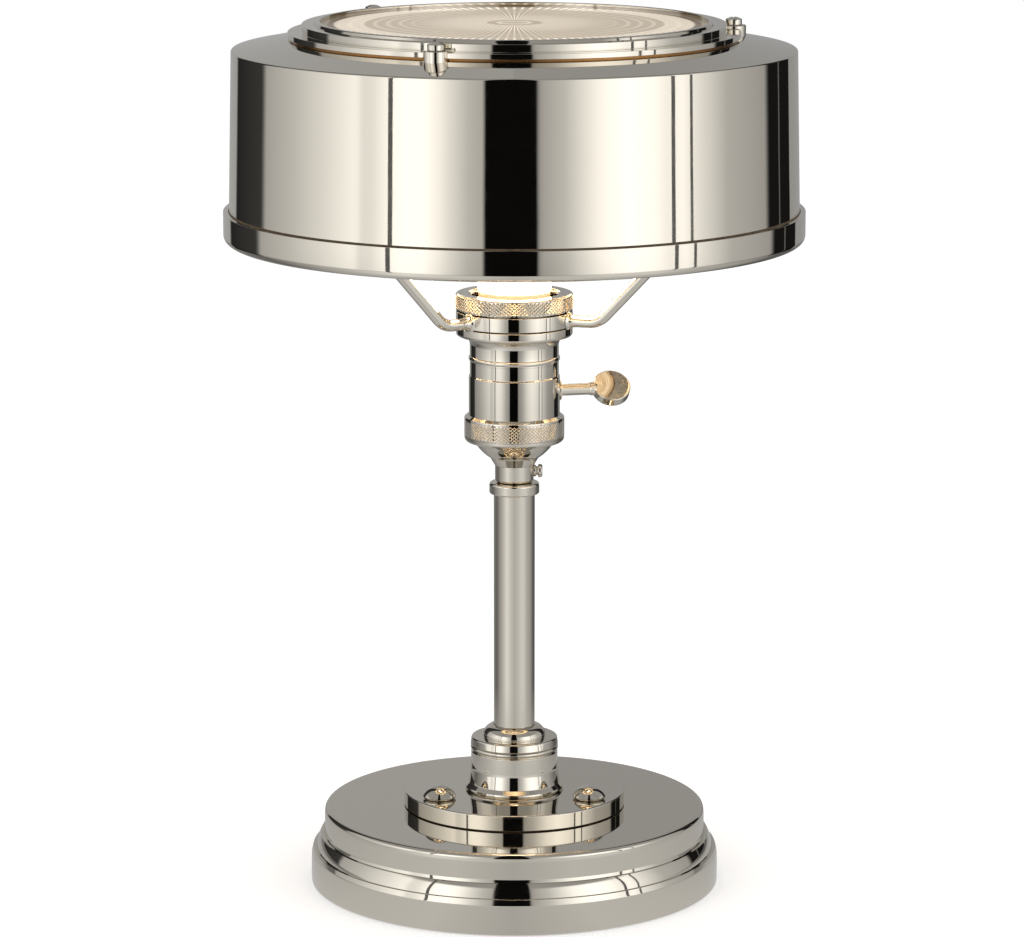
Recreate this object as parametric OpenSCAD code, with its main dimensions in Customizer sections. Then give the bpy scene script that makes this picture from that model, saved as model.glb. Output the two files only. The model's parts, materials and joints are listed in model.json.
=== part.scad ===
// Table lamp with a weighted round base, a slim column, a lamp holder with a turn key,
// and a drum shade whose roof carries a pressed glass lens in a screwed-down bezel.
// Millimetres, +Z up. The origin is on the lamp's axis at the table, and -Y is the front.

/* [Base] */
// Radius of the foot ring, the widest part of the base
foot_r = 79.4; // [68:0.2:96]
// Height of the raised disc's top face
base_h = 30.2; // [28:0.2:40]
// Height of the straight wall of the foot ring
foot_wall_h = 11.5; // [9:0.5:13]
// Width of the sloping shoulder between foot ring and disc
shoulder_w = 5.3; // [4:0.1:8]
// Visible height of the disc's wall
disc_wall_h = 10.9; // [9:0.1:13]
// Wall thickness of the turned base
base_t = 2.2; // [1.6:0.1:3]
// Thickness of the iron ballast under the disc
ballast_t = 15; // [8:0.5:16]
// Thickness of the felt pad
felt_t = 1.8; // [1:0.1:3]
// Thickness of the fibre cover over the felt
cover_t = 1.6; // [1:0.1:2.5]
// Radius of the cord hole through the inlet bush
inlet_r = 3.2; // [2.5:0.1:4]

/* [Column] */
// Radius of the flange plate
flange_r = 43; // [36:0.5:52]
// Thickness of the flange plate
flange_t = 6.4; // [4:0.1:9]
// Radius of the circle on which the flange screws stand
flange_screw_circle_r = 33.5; // [28:0.5:36]
// Radius of a flange screw's button head
button_r = 6.4; // [4:0.1:7]
// Largest radius of the bell that holds the column
bell_r = 19.2; // [18:0.1:24]
// Height of the bell
bell_h = 25.5; // [24:0.1:34]
// Outer radius of the column tube
column_r = 7.94; // [7.2:0.02:9.6]
// Wall of the column tube
column_t = 1.2; // [0.8:0.1:1.6]
// Visible length of the column between bell and collar
column_len = 91.8; // [60:0.1:160]
// How far the collar on top of the column stands out
collar_w = 1.71; // [1.2:0.01:4.1]
// Height of the collar
collar_h = 4.5; // [3:0.1:6]
// Radius of the hollow rod that clamps base, column and lamp holder together
rod_r = 5; // [4.4:0.1:5.4]
// Radius of the rod's bore
rod_bore_r = 3.4; // [2.6:0.1:3.8]

/* [Lamp holder] */
// Radius of the lower part of the holder's shell
shell_r = 17.5; // [17:0.1:21]
// Wall of the shell
shell_t = 0.6; // [0.5:0.1:0.9]
// How far the knurled rim of the cap stands out from the shell
cap_rim_w = 1.75; // [1.3:0.05:4.5]
// Radius of the cap's neck
neck_r = 7.45; // [7:0.05:8.4]
// How far the threaded spout stands out from the shell
spout_w = 1.5; // [1.1:0.1:3.5]
// Height of the spout above the seat
spout_h = 11.2; // [10:0.2:14]
// Width of the seat round the spout, on which the shade's hub ring rests
seat_w = 3.4; // [3:0.1:7]
// Outer radius of the bulb's screw cap
lamp_cap_r = 13.1; // [12.8:0.05:13.4]
// Radius of the switch shaft
key_shaft_r = 2.25; // [1.5:0.05:3]
// Height of the switch shaft's axis above the foot of the cap's neck
key_rise = 35.2; // [33:0.2:36]
// Direction of the switch shaft, in degrees behind the right-hand side
key_turn_back = 12; // [0:1:40]
// Length of shaft between shell and finger disc
key_reach = 13.4; // [8:0.2:20]
// Radius of the finger disc
key_disc_r = 7.3; // [5:0.1:9]
// Thickness of the finger disc
key_disc_t = 4.9; // [3.5:0.1:7]
// Tilt of the finger disc's face above the horizontal
key_disc_tilt = 48; // [0:1:90]
// Radius of the bulb
bulb_r = 30; // [24:0.5:34]

/* [Shade] */
// Outer radius of the drum at its lower edge
drum_r = 108.9; // [98:0.1:132]
// Height of the drum from the rim's lower edge to the edge of the roof
drum_h = 72.8; // [66:0.2:90]
// Narrowing of the drum's radius from its lower edge to its top
drum_taper = 1.6; // [0:0.1:6]
// Sheet thickness of drum and roof
sheet_t = 1; // [0.7:0.1:1.4]
// Height of the rim's lower edge above the seat of the lamp holder
drum_lift = 33.3; // [30:0.5:45]
// Radius of the rounded edge between drum and roof
drum_edge = 3; // [2:0.5:6]
// Rise of the roof from its edge to the lens seat
roof_rise = 4; // [2:0.2:8]
// Height of the rim band
rim_h = 12.1; // [8:0.1:18]
// Thickness of the rim band
rim_t = 2.05; // [1.4:0.05:3]
// Radius of a spider arm
arm_r = 2.25; // [1.6:0.05:3]
// Rise of an arm from the hub ring to the bend that turns it upright
arm_rise = 73.7; // [50:0.1:78]
// Azimuths of the spider arms, in degrees to the right of the front
arm_azimuths = [-51, 69, 189];
// Height of the hub ring that carries the arms
hub_h = 5.8; // [5.2:0.1:7]
// Height of the knurled ring that holds the shade down
nut_h = 6.6; // [5.8:0.1:8]

/* [Lens] */
// Radius of the opening through which the lens shows
lens_open_r = 73.5; // [60:0.05:76]
// Width of the bezel's inner lip
lip_w = 3.4; // [2.5:0.1:5]
// How far the bezel's step lies outside the opening
bezel_step_w = 7; // [6:0.1:10.5]
// Width of the bezel's flange round its step
bezel_flange_w = 5.3; // [4.5:0.1:9.5]
// Thickness of the glass at its rim
glass_t = 3.2; // [2.5:0.1:4]
// Rise of the glass to the middle of its face
glass_crown = 0.6; // [0:0.1:2]
// Number of prism flutes pressed into the underside of the glass
flutes = 120; // [60:10:160]
// Depth of a flute at its outer end
flute_depth = 0.65; // [0.3:0.05:1]
// Radius of the plain disc in the middle of the flutes
lens_disc_r = 5.6; // [4:0.1:8]
// Azimuths of the bezel's screws, in degrees to the right of the front
ear_azimuths = [-19.5, 100.5, 220.5];
// Radius of an ear
ear_r = 4.7; // [4:0.1:6]

/* [Hidden] */
$fn = 96;
// Finishes
nickel = "#b9b2a6";
brass = "#c9a55c";
steel = "#8f9499";
// Turning step of a rounded corner, in degrees
arc_step = 15;
// Clearance between pieces that are pushed together by hand
fit = 0.1;
// Clearance of a piece that turns on another
running = 0.05;
// Gap between faces of pieces that move past each other
gap = 0.25;
// Overshoot of a cutting solid
over = 1;
// Edges: broken by hand, turned, turned soft, and turned round
broken = 0.3;
eased = 0.4;
softened = 0.8;
rolled = 1;

// Base
foot_z = 0.3;
foot_inset = 0.6;
cover_z = felt_t;
disc_r = foot_r - shoulder_w;
disc_z = base_h - disc_wall_h;
shoulder_round = 9;
inner_drop = 1.5;
ledge_z = disc_z - 4.3;
ledge_in = 1.2;
ledge_lip = 0.35;
inlet_wall = 1.1;
inlet_body_r = inlet_r + inlet_wall;
inlet_z = cover_z + cover_t + inlet_body_r + gap;
inlet_head_r = inlet_body_r + inlet_wall;
inlet_head_t = 1.4;
inlet_tail = 3;
inlet_len = inlet_tail + base_t + inlet_head_t;
inlet_edge = 0.6;
ballast_top = base_h - base_t;
ballast_z = ballast_top - ballast_t;
ballast_side_gap = 1.2;
ballast_bore_gap = 1.5;

// Column: the bell has a flared lip, a cove, a bead between two grooves, a band, a ledge and a dome
bell_z = base_h + flange_t;
bell_top = bell_z + bell_h;
bell_lip_h = 2.3;
bell_flare = 1.3;
bell_flare_h = 1.25;
bell_body_r = bell_r - 2.35;
bell_cove_r = 17.4;
bell_cove_turn = 20;
bell_groove = 0.5;
bell_bead_h = 2.1;
bell_bead_turn = 43;
bell_band_h = 3.4;
bell_band_out = 0.25;
bell_dome_w = 4.2;
bell_dome_foot = 0.3;
tube_seat_h = 8;
collar_r = column_r + collar_w;
collar_z = bell_top + column_len;
collar_spigot = 8;
neck_z = collar_z + collar_h;

// Pieces on the clamping rod under the ballast, and the flange screws
washer_r = 13;
washer_t = 1.6;
lock_r = 8;
lock_t = 1.2;
lock_slit = 1;
nut_flats = 14.3;
rod_nut_h = 4.5;
rod_tail = 0.6;
rod_z = ballast_z - washer_t - lock_t - rod_nut_h - rod_tail;
flange_screw_azimuths = [60, 180, 300];
button_h = 5.2;
button_edge = 1.2;
screw_shank_r = 2.4;
screw_reach = flange_t + base_t + 9;

// Lamp holder, from the foot of its neck up
neck_h = 6.8;
cone_top = neck_z + 9.8;
rod_top = neck_z + 9.2;
dome_r = shell_r + 0.3;
dome_z = neck_z + 24.8;
dome_t = 0.9;
cap_rim_r = shell_r + cap_rim_w;
rim_z = neck_z + 16;
rim_top = neck_z + 26.4;
rim_lap = 1.6;
shell_z = rim_z + rim_lap;
step_z = neck_z + 41.6;
bead_z = neck_z + 48.6;
bead_r = 1.15;
bead_out = 0.5;
bead_turn = 55;
flare_r = 3.6;
flare_in = 2.4;
seat_under_z = neck_z + 57.4;
seat_t = 3.8;
seat_z = seat_under_z + seat_t;
spout_r = shell_r + spout_w;
spout_t = 1.1;
spout_top = seat_z + spout_h;
seat_r = spout_r + seat_w;
shell_step = 0.4;
shell_step_in = 0.2;
shell_bore = shell_r - shell_t;
upper_r = shell_r - shell_step;
upper_bore = upper_r - shell_t;
set_screw_z = neck_z + 4.3;
set_screw_r = 1.5;
set_head_r = 2.6;
set_head_t = 2.5;
set_head_x = neck_r + 0.9;
slot_w = 0.7;
liner_t = 0.5;
liner_r = upper_bore - fit / 2;
liner_z = shell_z + 0.6;
liner_top = seat_under_z - 3.6;
body_r = liner_r - liner_t - 2 * fit;
body_z = shell_z + 2.2;
body_top = seat_z + 6.6;
contact_t = 0.5;
contact_r = lamp_cap_r + running + contact_t;
contact_floor_r = contact_r - 5;
contact_rim_drop = 0.8;
well_r = contact_r + fit;
well_z = neck_z + 41.2;
well_floor_t = 6;
wire_hole_r = 4;
contact_z = well_z + 2.8;
leaf_t = 0.5;
leaf_w = 5;
leaf_foot = 7;
leaf_flat = 3;
leaf_bend = 2;
terminal_x = 9;
terminal_r = 1.5;
terminal_len = 6;
terminal_head_r = 2.4;
terminal_head_t = 1.4;
terminal_slot = 0.6;
key_z = neck_z + key_rise;
bush_wall = 1;
bush_r = key_shaft_r + bush_wall;
bush_collar_w = 0.7;
bush_collar_t = 0.5;
bush_cut = 6;
rotor_r = 4.4;
rotor_len = 4.5;
rotor_x = 2;
shaft_in_disc = 2;
key_disc_x = shell_r + key_reach + key_disc_r;

// Bulb, from the seat of its tip up
tip_z = contact_z + 0.1;
bulb_skirt_z = tip_z + 25.4;
bulb_neck_r = lamp_cap_r + 1.1;
bulb_waist_z = bulb_skirt_z + 7;
bulb_waist_arc = bulb_r + 5;
bulb_centre_z = bulb_waist_z + sqrt(pow(bulb_r + bulb_waist_arc, 2) - pow(bulb_neck_r + bulb_waist_arc, 2));
bulb_t = 0.8;
bulb_foot_r = lamp_cap_r - 0.6;
bulb_foot_t = 1.2;
bulb_foot_h = 4;
cap_t = 0.6;
cap_foot_r = lamp_cap_r - 1.6;
cap_foot_z = tip_z + 3;
cap_cone_h = 1.6;
tip_r = 4;
tip_h = 1;
insulator_r = 5.2;

// Shade: hub, arms, drum and roof
hub_z = seat_z;
hub_bore = spout_r + 0.15;
hub_r = seat_r;
nut_z = hub_z + hub_h + gap;
nut_r = hub_r + 0.2;
nut_lip_w = 1;
nut_edge = 0.7;
rim_band_z = seat_z + drum_lift;
rim_r = drum_r + rim_t;
rim_lip_t = 1.1;
rim_round = 2.4;
rim_in = 0.3;
drum_z = rim_band_z + rim_lip_t;
roof_edge_z = rim_band_z + drum_h;
roof_edge_r = drum_r - drum_taper;
roof_z = roof_edge_z + roof_rise;
edge_z = roof_edge_z - drum_edge - sheet_t;
arm_z = hub_z + hub_h / 2;
arm_run = 34.3;
arm_bend = 9;
arm_lap = 0.2;
arm_swell = 0.01;
arm_foot_h = 14;
arm_root = 1.5;

// Lens and its bezel
bezel_step_r = lens_open_r + bezel_step_w;
bezel_r = bezel_step_r + bezel_flange_w;
roof_seat_r = bezel_r - 0.8;
roof_open_r = lens_open_r + 4.2;
seat_ring_t = 0.7;
seat_ring_in = 0.2;
bezel_z = roof_z + seat_ring_t;
flange_top = bezel_z + 2;
step_top = flange_top + 2.9;
lip_top = step_top + 1.2;
lip_t = 1.6;
lip_edge = 0.7;
lip_foot_w = 3.4;
lip_groove = 0.3;
lip_slope = 0.5;
glass_r = lens_open_r + lip_w - fit;
glass_top = lip_top - lip_t;
glass_z = glass_top - glass_t;
face_in = 0.6;
crown_z = glass_top + glass_crown;
flute_start_r = lens_disc_r + 4.8;
flute_border = 5.5;
flute_end_w = 0.6;
lens_disc_rise = 0.4;
lens_disc_edge = 0.3;
retainer_w = 2;
retainer_t = 1;
retainer_slit = 4;
ear_circle_r = bezel_r - 0.6;
ear_top = flange_top + 0.8;
ear_hang = 2;
ear_seam = 0.5;
bezel_screw_r = 1.5;
bezel_head_r = 3.15;
bezel_head_h = 2.9;
bezel_head_dome = 0.7;
bezel_head_crown = 0.45;
bezel_slot_t = 1.1;
bezel_nut_flats = 5.5;
bezel_nut_h = 2.4;
bezel_screw_tail = 1.5;

// Outline helpers
function unit(v) = v / norm(v);

// Points of the arc that rounds corner p between its neighbours a and b
function corner_arc(a, p, b, r) =
    let (
        u = unit(a - p),
        w = unit(b - p),
        half = acos(u * w) / 2,
        c = p + unit(u + w) * r / sin(half),
        start = p + u * r / tan(half) - c,
        from = atan2(start.y, start.x),
        sweep = (180 - 2 * half) * sign(cross(p - a, b - p)),
        n = max(2, ceil(abs(sweep) / arc_step))
    )
    [for (i = [0:n]) c + r * [cos(from + sweep * i / n), sin(from + sweep * i / n)]];

// Corners are [radius, height] or [radius, height, rounding]
function rounded(pts) =
    let (n = len(pts), at = [for (q = pts) [q[0], q[1]]])
    [for (i = [0:n - 1])
        each len(pts[i]) > 2
            ? corner_arc(at[(i + n - 1) % n], at[i], at[(i + 1) % n], pts[i][2])
            : [at[i]]];

// Points on a circle between two angles
function arc_points(c, r, a0, a1, n) =
    [for (i = [0:n]) c + r * [cos(a0 + (a1 - a0) * i / n), sin(a0 + (a1 - a0) * i / n)]];

// Height of the roof's outer face at a radius
function roof_at(r) = roof_z - max(0, r - roof_seat_r) * roof_rise / (roof_edge_r - roof_seat_r);

// Radius of the drum's outer face at a height
function wall_at(z) = drum_r - drum_taper * (z - drum_z) / (roof_edge_z - drum_z);

// Body of revolution about the lamp's axis
module turned(pts) {
    rotate_extrude() polygon(rounded(pts));
}

// Plain ring or tube between two heights
module tube(r_out, r_in, z0, z1) {
    difference() {
        translate([0, 0, z0]) cylinder(r = r_out, h = z1 - z0);
        translate([0, 0, z0 - over]) cylinder(r = r_in, h = z1 - z0 + 2 * over);
    }
}

// Places a piece at a radius and an azimuth counted from the front towards the right
module at_azimuth(a, r = 0) {
    rotate([0, 0, a - 90]) translate([r, 0, 0]) children();
}

// Lays a piece that points up along the switch shaft's axis
module on_key_axis(x = 0) {
    rotate([0, 0, key_turn_back]) translate([x, 0, key_z]) rotate([0, 90, 0]) children();
}

module hex(flats, h) {
    cylinder(r = flats / sqrt(3), h = h, $fn = 6);
}

// Screwdriver slot across a head of that radius, cut down from its top
module slot(r, w, depth, top) {
    translate([-w / 2, -r - over, top - depth]) cube([w, 2 * (r + over), depth + over]);
}

// Base
module felt_pad() {
    color("#2b2b2b") cylinder(r = foot_r - base_t - foot_inset, h = felt_t);
}

module bottom_cover() {
    color("#6b5a45") translate([0, 0, cover_z]) cylinder(r = foot_r - base_t - fit, h = cover_t);
}

module flange_screw_holes(r, z0, z1) {
    for (a = flange_screw_azimuths) at_azimuth(a, flange_screw_circle_r)
        translate([0, 0, z0]) cylinder(r = r, h = z1 - z0);
}

module inlet_hole(r) {
    translate([0, foot_r - 3 * base_t, inlet_z]) rotate([-90, 0, 0]) cylinder(r = r, h = 6 * base_t);
}

module base_shell() {
    color(nickel) difference() {
        turned([
            [rod_r + fit, base_h],
            [rod_r + fit, base_h - base_t],
            [disc_r - base_t, base_h - base_t, rolled],
            [disc_r - base_t, disc_z - inner_drop],
            [foot_r - base_t, foot_wall_h - inner_drop],
            [foot_r - base_t, foot_z],
            [foot_r, foot_z, softened],
            [foot_r, foot_wall_h, shoulder_round],
            [foot_r - ledge_in, ledge_z],
            [foot_r - ledge_in - ledge_lip, ledge_z],
            [disc_r + eased, disc_z],
            [disc_r, disc_z],
            [disc_r, base_h, softened]
        ]);
        flange_screw_holes(screw_shank_r + fit, base_h - base_t - over, base_h + over);
        inlet_hole(inlet_body_r + fit);
    }
}

module base_ballast() {
    color("#4a4a4c") difference() {
        tube(disc_r - base_t - ballast_side_gap, rod_r + ballast_bore_gap, ballast_z, ballast_top);
        flange_screw_holes(screw_shank_r, ballast_z - over, ballast_top + over);
    }
}

module cord_inlet_bush() {
    color(brass) translate([0, foot_r + inlet_head_t, inlet_z]) rotate([90, 0, 0]) turned([
        [inlet_r, 0, inlet_edge],
        [inlet_head_r, 0, inlet_edge],
        [inlet_head_r, inlet_head_t],
        [inlet_body_r, inlet_head_t],
        [inlet_body_r, inlet_len],
        [inlet_r, inlet_len]
    ]);
}

// Flange, bell and column
module flange_plate() {
    color(nickel) difference() {
        turned([
            [rod_r + fit, base_h],
            [flange_r, base_h, eased],
            [flange_r, bell_z, softened],
            [rod_r + fit, bell_z]
        ]);
        flange_screw_holes(screw_shank_r + fit, base_h - over, bell_z + over);
    }
}

module flange_screws() {
    crown_r = (pow(button_r, 2) + pow(button_h - button_edge, 2)) / (2 * (button_h - button_edge));
    crown_z = button_h - crown_r;
    color(nickel) for (a = flange_screw_azimuths) at_azimuth(a, flange_screw_circle_r)
        translate([0, 0, bell_z]) {
            rotate_extrude() polygon(concat(
                [[0, 0]],
                arc_points([button_r - button_edge, button_edge], button_edge, -90, 0, 4),
                arc_points([0, crown_z], crown_r, asin((button_edge - crown_z) / crown_r), 90, 8)
            ));
            translate([0, 0, -screw_reach]) cylinder(r = screw_shank_r, h = screw_reach);
        }
}

module column_bell() {
    lip_z = bell_z + bell_lip_h;
    cove = [bell_r - bell_flare, lip_z + bell_flare_h];
    cove_c = cove + bell_cove_r * [cos(bell_cove_turn), sin(bell_cove_turn)];
    dome_z0 = bell_top - bell_dome_w;
    ledge_z = dome_z0 - bell_dome_foot;
    groove_z = ledge_z - bell_band_h - bell_bead_h;
    band_r = bell_body_r + bell_band_out;
    bead_mid = groove_z + bell_bead_h / 2;
    bell_bead_r = (bell_bead_h - bell_groove) / 2 / sin(bell_bead_turn);
    color(nickel) rotate_extrude() polygon(concat(
        [[rod_r + fit, bell_z]],
        rounded(concat(
            [[bell_r - bell_lip_h, bell_z], [bell_r, bell_z, softened], [bell_r, lip_z, rolled]],
            [[cove.x, cove.y, rolled]],
            arc_points(cove_c, bell_cove_r, 177 + bell_cove_turn, 180, 8),
            [
                [cove_c.x - bell_cove_r, groove_z - bell_groove, broken],
                [bell_body_r - bell_groove, groove_z]
            ]
        )),
        arc_points([band_r - bell_bead_r, bead_mid], bell_bead_r, -bell_bead_turn, bell_bead_turn, 6),
        rounded([
            [bell_body_r - bell_groove, groove_z + bell_bead_h],
            [band_r, groove_z + bell_bead_h + bell_groove / 2, broken],
            [band_r, ledge_z, softened],
            [column_r + bell_dome_w, ledge_z]
        ]),
        arc_points([column_r, dome_z0], bell_dome_w, 0, 85, 8),
        [
            [column_r + running, bell_top - broken],
            [column_r + running, bell_z + tube_seat_h],
            [rod_r + fit, bell_z + tube_seat_h]
        ]
    ));
}

module column_tube() {
    color(nickel) tube(column_r, column_r - column_t, bell_z + tube_seat_h, collar_z);
}

module column_collar() {
    spigot_r = column_r - column_t - running;
    color(nickel) turned([
        [rod_r + fit, collar_z - collar_spigot],
        [spigot_r, collar_z - collar_spigot, eased],
        [spigot_r, collar_z],
        [collar_r, collar_z, softened],
        [collar_r, neck_z, rolled],
        [rod_r + fit, neck_z]
    ]);
}

// Clamping rod and what it pulls against
module clamp_rod() {
    color(steel) tube(rod_r, rod_bore_r, rod_z, rod_top);
}

module clamp_washer() {
    color(steel) tube(washer_r, rod_r + fit, ballast_z - washer_t, ballast_z);
}

module lock_washer() {
    z = ballast_z - washer_t - lock_t;
    color(steel) difference() {
        tube(lock_r, rod_r + fit, z, z + lock_t);
        translate([rod_r, -lock_slit / 2, z - over]) cube([lock_r, lock_slit, lock_t + 2 * over]);
    }
}

module clamp_nut() {
    z = ballast_z - washer_t - lock_t - rod_nut_h;
    color(steel) difference() {
        translate([0, 0, z]) hex(nut_flats, rod_nut_h);
        translate([0, 0, z - over]) cylinder(r = rod_r, h = rod_nut_h + 2 * over);
    }
}

// Lamp holder
module holder_cap() {
    neck_round = 1.6;
    neck_step = 0.2;
    rim_in = 3;
    rim_foot_round = 2;
    dome_join = 0.6;
    dome_in = dome_r - dome_t;
    dome_low = asin((cone_top - dome_z) / dome_r);
    dome_high = asin((rim_z - dome_join - dome_z) / dome_r);
    in_low = asin((cone_top + dome_t - dome_z) / dome_in);
    in_high = asin((shell_z - eased - dome_z) / dome_in);
    color(nickel) difference() {
        rotate_extrude() polygon(concat(
            [[rod_r, neck_z]],
            rounded([
                [neck_r - 2 * rolled, neck_z],
                [neck_r, neck_z, neck_round],
                [neck_r, neck_z + neck_h]
            ]),
            [
                [neck_r + neck_step, neck_z + neck_h],
                [dome_r * cos(dome_low) - fit, cone_top]
            ],
            arc_points([0, dome_z], dome_r, dome_low, dome_high, 8),
            rounded([
                [cap_rim_r - rim_in, rim_z],
                [cap_rim_r, rim_z, rim_foot_round],
                [cap_rim_r, rim_top - softened, eased],
                [shell_r + eased, rim_top + broken],
                [shell_r + running, rim_top + broken]
            ]),
            [[shell_r + running, shell_z], [dome_in * cos(in_high), shell_z]],
            arc_points([0, dome_z], dome_in, in_high, in_low, 8),
            [[rod_r, cone_top + dome_t]]
        ));
        translate([0, 0, set_screw_z]) rotate([0, 90, 0]) cylinder(r = set_screw_r, h = 2 * neck_r);
    }
}

module neck_set_screw() {
    len = set_head_x - rod_r;
    color(nickel) translate([rod_r, 0, set_screw_z]) rotate([0, 90, 0]) difference() {
        turned([
            [0, 0],
            [set_screw_r, 0],
            [set_screw_r, len],
            [set_head_r, len, softened],
            [set_head_r, len + set_head_t, softened],
            [0, len + set_head_t]
        ]);
        slot(set_head_r, slot_w, softened, len + set_head_t);
    }
}

module holder_shell() {
    bead_c = upper_r + bead_out - bead_r;
    color(nickel) difference() {
        rotate_extrude() polygon(concat(
            [[shell_bore, shell_z], [shell_r, shell_z]],
            rounded([
                [shell_r, step_z - rolled],
                [shell_r, step_z, broken],
                [upper_r, step_z + shell_step, broken],
                [upper_r, step_z + 2 * rolled]
            ]),
            arc_points([bead_c, bead_z], bead_r, -bead_turn, bead_turn, 6),
            rounded([
                [upper_r, bead_z + 2 * rolled],
                [upper_r, seat_under_z, flare_r],
                [seat_r, seat_under_z, rolled],
                [seat_r, seat_z, broken],
                [spout_r, seat_z],
                [spout_r, spout_top, broken],
                [spout_r - spout_t, spout_top]
            ]),
            [
                [spout_r - spout_t, seat_under_z + eased],
                [upper_bore, seat_under_z - flare_in],
                [upper_bore, step_z + shell_step_in],
                [shell_bore, step_z - shell_step_in]
            ]
        ));
        on_key_axis(body_r) cylinder(r = bush_r, h = bush_cut);
    }
}

module insulating_liner() {
    color("#7d6a4c") difference() {
        tube(liner_r, liner_r - liner_t, liner_z, liner_top);
        on_key_axis(body_r - over) cylinder(r = bush_r, h = bush_cut);
    }
}

module terminal_holes() {
    for (s = [-1, 1]) translate([s * terminal_x, 0, body_z - over])
        cylinder(r = terminal_r, h = terminal_len + over);
}

module holder_body() {
    color("#3a2c24") difference() {
        turned([
            [wire_hole_r, body_z],
            [body_r, body_z, softened],
            [body_r, body_top, softened],
            [well_r, body_top],
            [well_r, well_z],
            [0, well_z],
            [0, well_z - well_floor_t],
            [wire_hole_r, well_z - well_floor_t]
        ]);
        on_key_axis(rotor_x) cylinder(r = key_shaft_r + gap, h = body_r);
        on_key_axis(rotor_x - gap) cylinder(r = rotor_r + gap, h = rotor_len + 2 * gap);
        terminal_holes();
    }
}

module screw_contact() {
    rim = body_top - contact_rim_drop;
    color(brass) turned([
        [contact_floor_r, well_z],
        [contact_r, well_z, softened],
        [contact_r, rim],
        [contact_r - contact_t, rim],
        [contact_r - contact_t, well_z + contact_t],
        [contact_floor_r, well_z + contact_t]
    ]);
}

// Leaf that is bent up from the floor of the well to meet the bulb's tip
module centre_contact() {
    rise = contact_z - well_z - 2 * fit;
    color(brass) translate([0, leaf_w / 2, well_z]) rotate([90, 0, 0]) linear_extrude(leaf_w) polygon([
        [-leaf_foot, 0],
        [-leaf_flat, 0],
        [leaf_bend - leaf_flat, rise - leaf_t],
        [leaf_flat, rise - leaf_t],
        [leaf_flat, rise],
        [leaf_bend - leaf_flat - leaf_t, rise],
        [-leaf_flat - leaf_t, leaf_t],
        [-leaf_foot, leaf_t]
    ]);
}

module terminal_screws() {
    color(brass) for (s = [-1, 1]) translate([s * terminal_x, 0, body_z]) {
        cylinder(r = terminal_r, h = terminal_len);
        rotate([180, 0, 0]) difference() {
            cylinder(r = terminal_head_r, h = terminal_head_t);
            slot(terminal_head_r, terminal_slot, terminal_slot, terminal_head_t);
        }
    }
}

// Switch
module switch_bush() {
    color(nickel) difference() {
        union() {
            on_key_axis(body_r + fit) cylinder(r = bush_r, h = shell_r + bush_collar_t - body_r);
            on_key_axis(shell_r + running) cylinder(r = bush_r + bush_collar_w, h = bush_collar_t);
        }
        on_key_axis(body_r - over) cylinder(r = key_shaft_r + running, h = bush_cut);
    }
}

module switch_shaft() {
    start = rotor_x + rotor_len;
    color(nickel) on_key_axis(start)
        cylinder(r = key_shaft_r, h = key_disc_x - key_disc_r - start + shaft_in_disc);
}

module switch_rotor() {
    color("#d8cdb4") on_key_axis(rotor_x) cylinder(r = rotor_r, h = rotor_len);
}

module switch_key() {
    color(nickel) difference() {
        rotate([0, 0, key_turn_back]) translate([key_disc_x, 0, key_z])
            rotate([90 - key_disc_tilt, 0, 0]) translate([0, 0, -key_disc_t / 2]) turned([
                [0, 0],
                [key_disc_r, 0, rolled],
                [key_disc_r, key_disc_t, rolled],
                [0, key_disc_t]
            ]);
        on_key_axis(shell_r) cylinder(r = key_shaft_r, h = key_reach + shaft_in_disc);
    }
}

// Shade fitting
module hub_ring() {
    color(nickel) turned([
        [hub_bore, hub_z],
        [hub_r, hub_z, eased],
        [hub_r, hub_z + hub_h, eased],
        [hub_bore, hub_z + hub_h]
    ]);
}

// Rod bend in the XZ plane that leaves the origin along +X and climbs by an angle.
// It is a hair thicker than the straight rods, whose ends lie inside it.
module rod_bend(angle) {
    translate([0, 0, arm_bend]) rotate([90, 0, 0]) rotate([0, 0, -90])
        rotate_extrude(angle = angle) translate([arm_bend, 0]) circle(r = arm_r + arm_swell);
}

// Places its children where such a bend ends, with +X along the rod
module past_bend(angle) {
    translate([0, 0, arm_bend]) rotate([0, -angle, 0]) translate([0, 0, -arm_bend]) children();
}

module rod(length) {
    translate([-arm_lap, 0, 0]) rotate([0, 90, 0]) cylinder(r = arm_r, h = length + 2 * arm_lap);
}

// One arm runs out level from the hub, climbs, and ends upright against the drum's wall
module arm(azimuth) {
    foot_x = wall_at(arm_z + arm_rise + arm_foot_h) - sheet_t - arm_r - fit;
    climb_angle = atan2(arm_rise, foot_x - arm_run);
    knee_half = arm_bend * tan(climb_angle / 2);
    foot_half = arm_bend * tan((90 - climb_angle) / 2);
    climb = norm([foot_x - arm_run, arm_rise]) - knee_half - foot_half;
    color(nickel) at_azimuth(azimuth) difference() {
        translate([arm_run - knee_half, 0, arm_z]) {
            rotate([0, 0, 180]) rod(arm_run - knee_half - hub_r + arm_root);
            rod_bend(climb_angle);
            past_bend(climb_angle) {
                rod(climb);
                translate([climb, 0, 0]) {
                    rod_bend(90 - climb_angle);
                    past_bend(90 - climb_angle) rod(arm_foot_h - foot_half);
                }
            }
        }
        translate([0, 0, hub_z - over]) cylinder(r = hub_r, h = hub_h + 2 * over);
    }
}

module shade_nut() {
    color(nickel) turned([
        [spout_r + running, nut_z],
        [nut_r, nut_z, eased],
        [nut_r, nut_z + nut_h, nut_edge],
        [spout_r - nut_lip_w, nut_z + nut_h, eased],
        [spout_r - nut_lip_w, spout_top + gap],
        [spout_r + running, spout_top + gap]
    ]);
}

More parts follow.
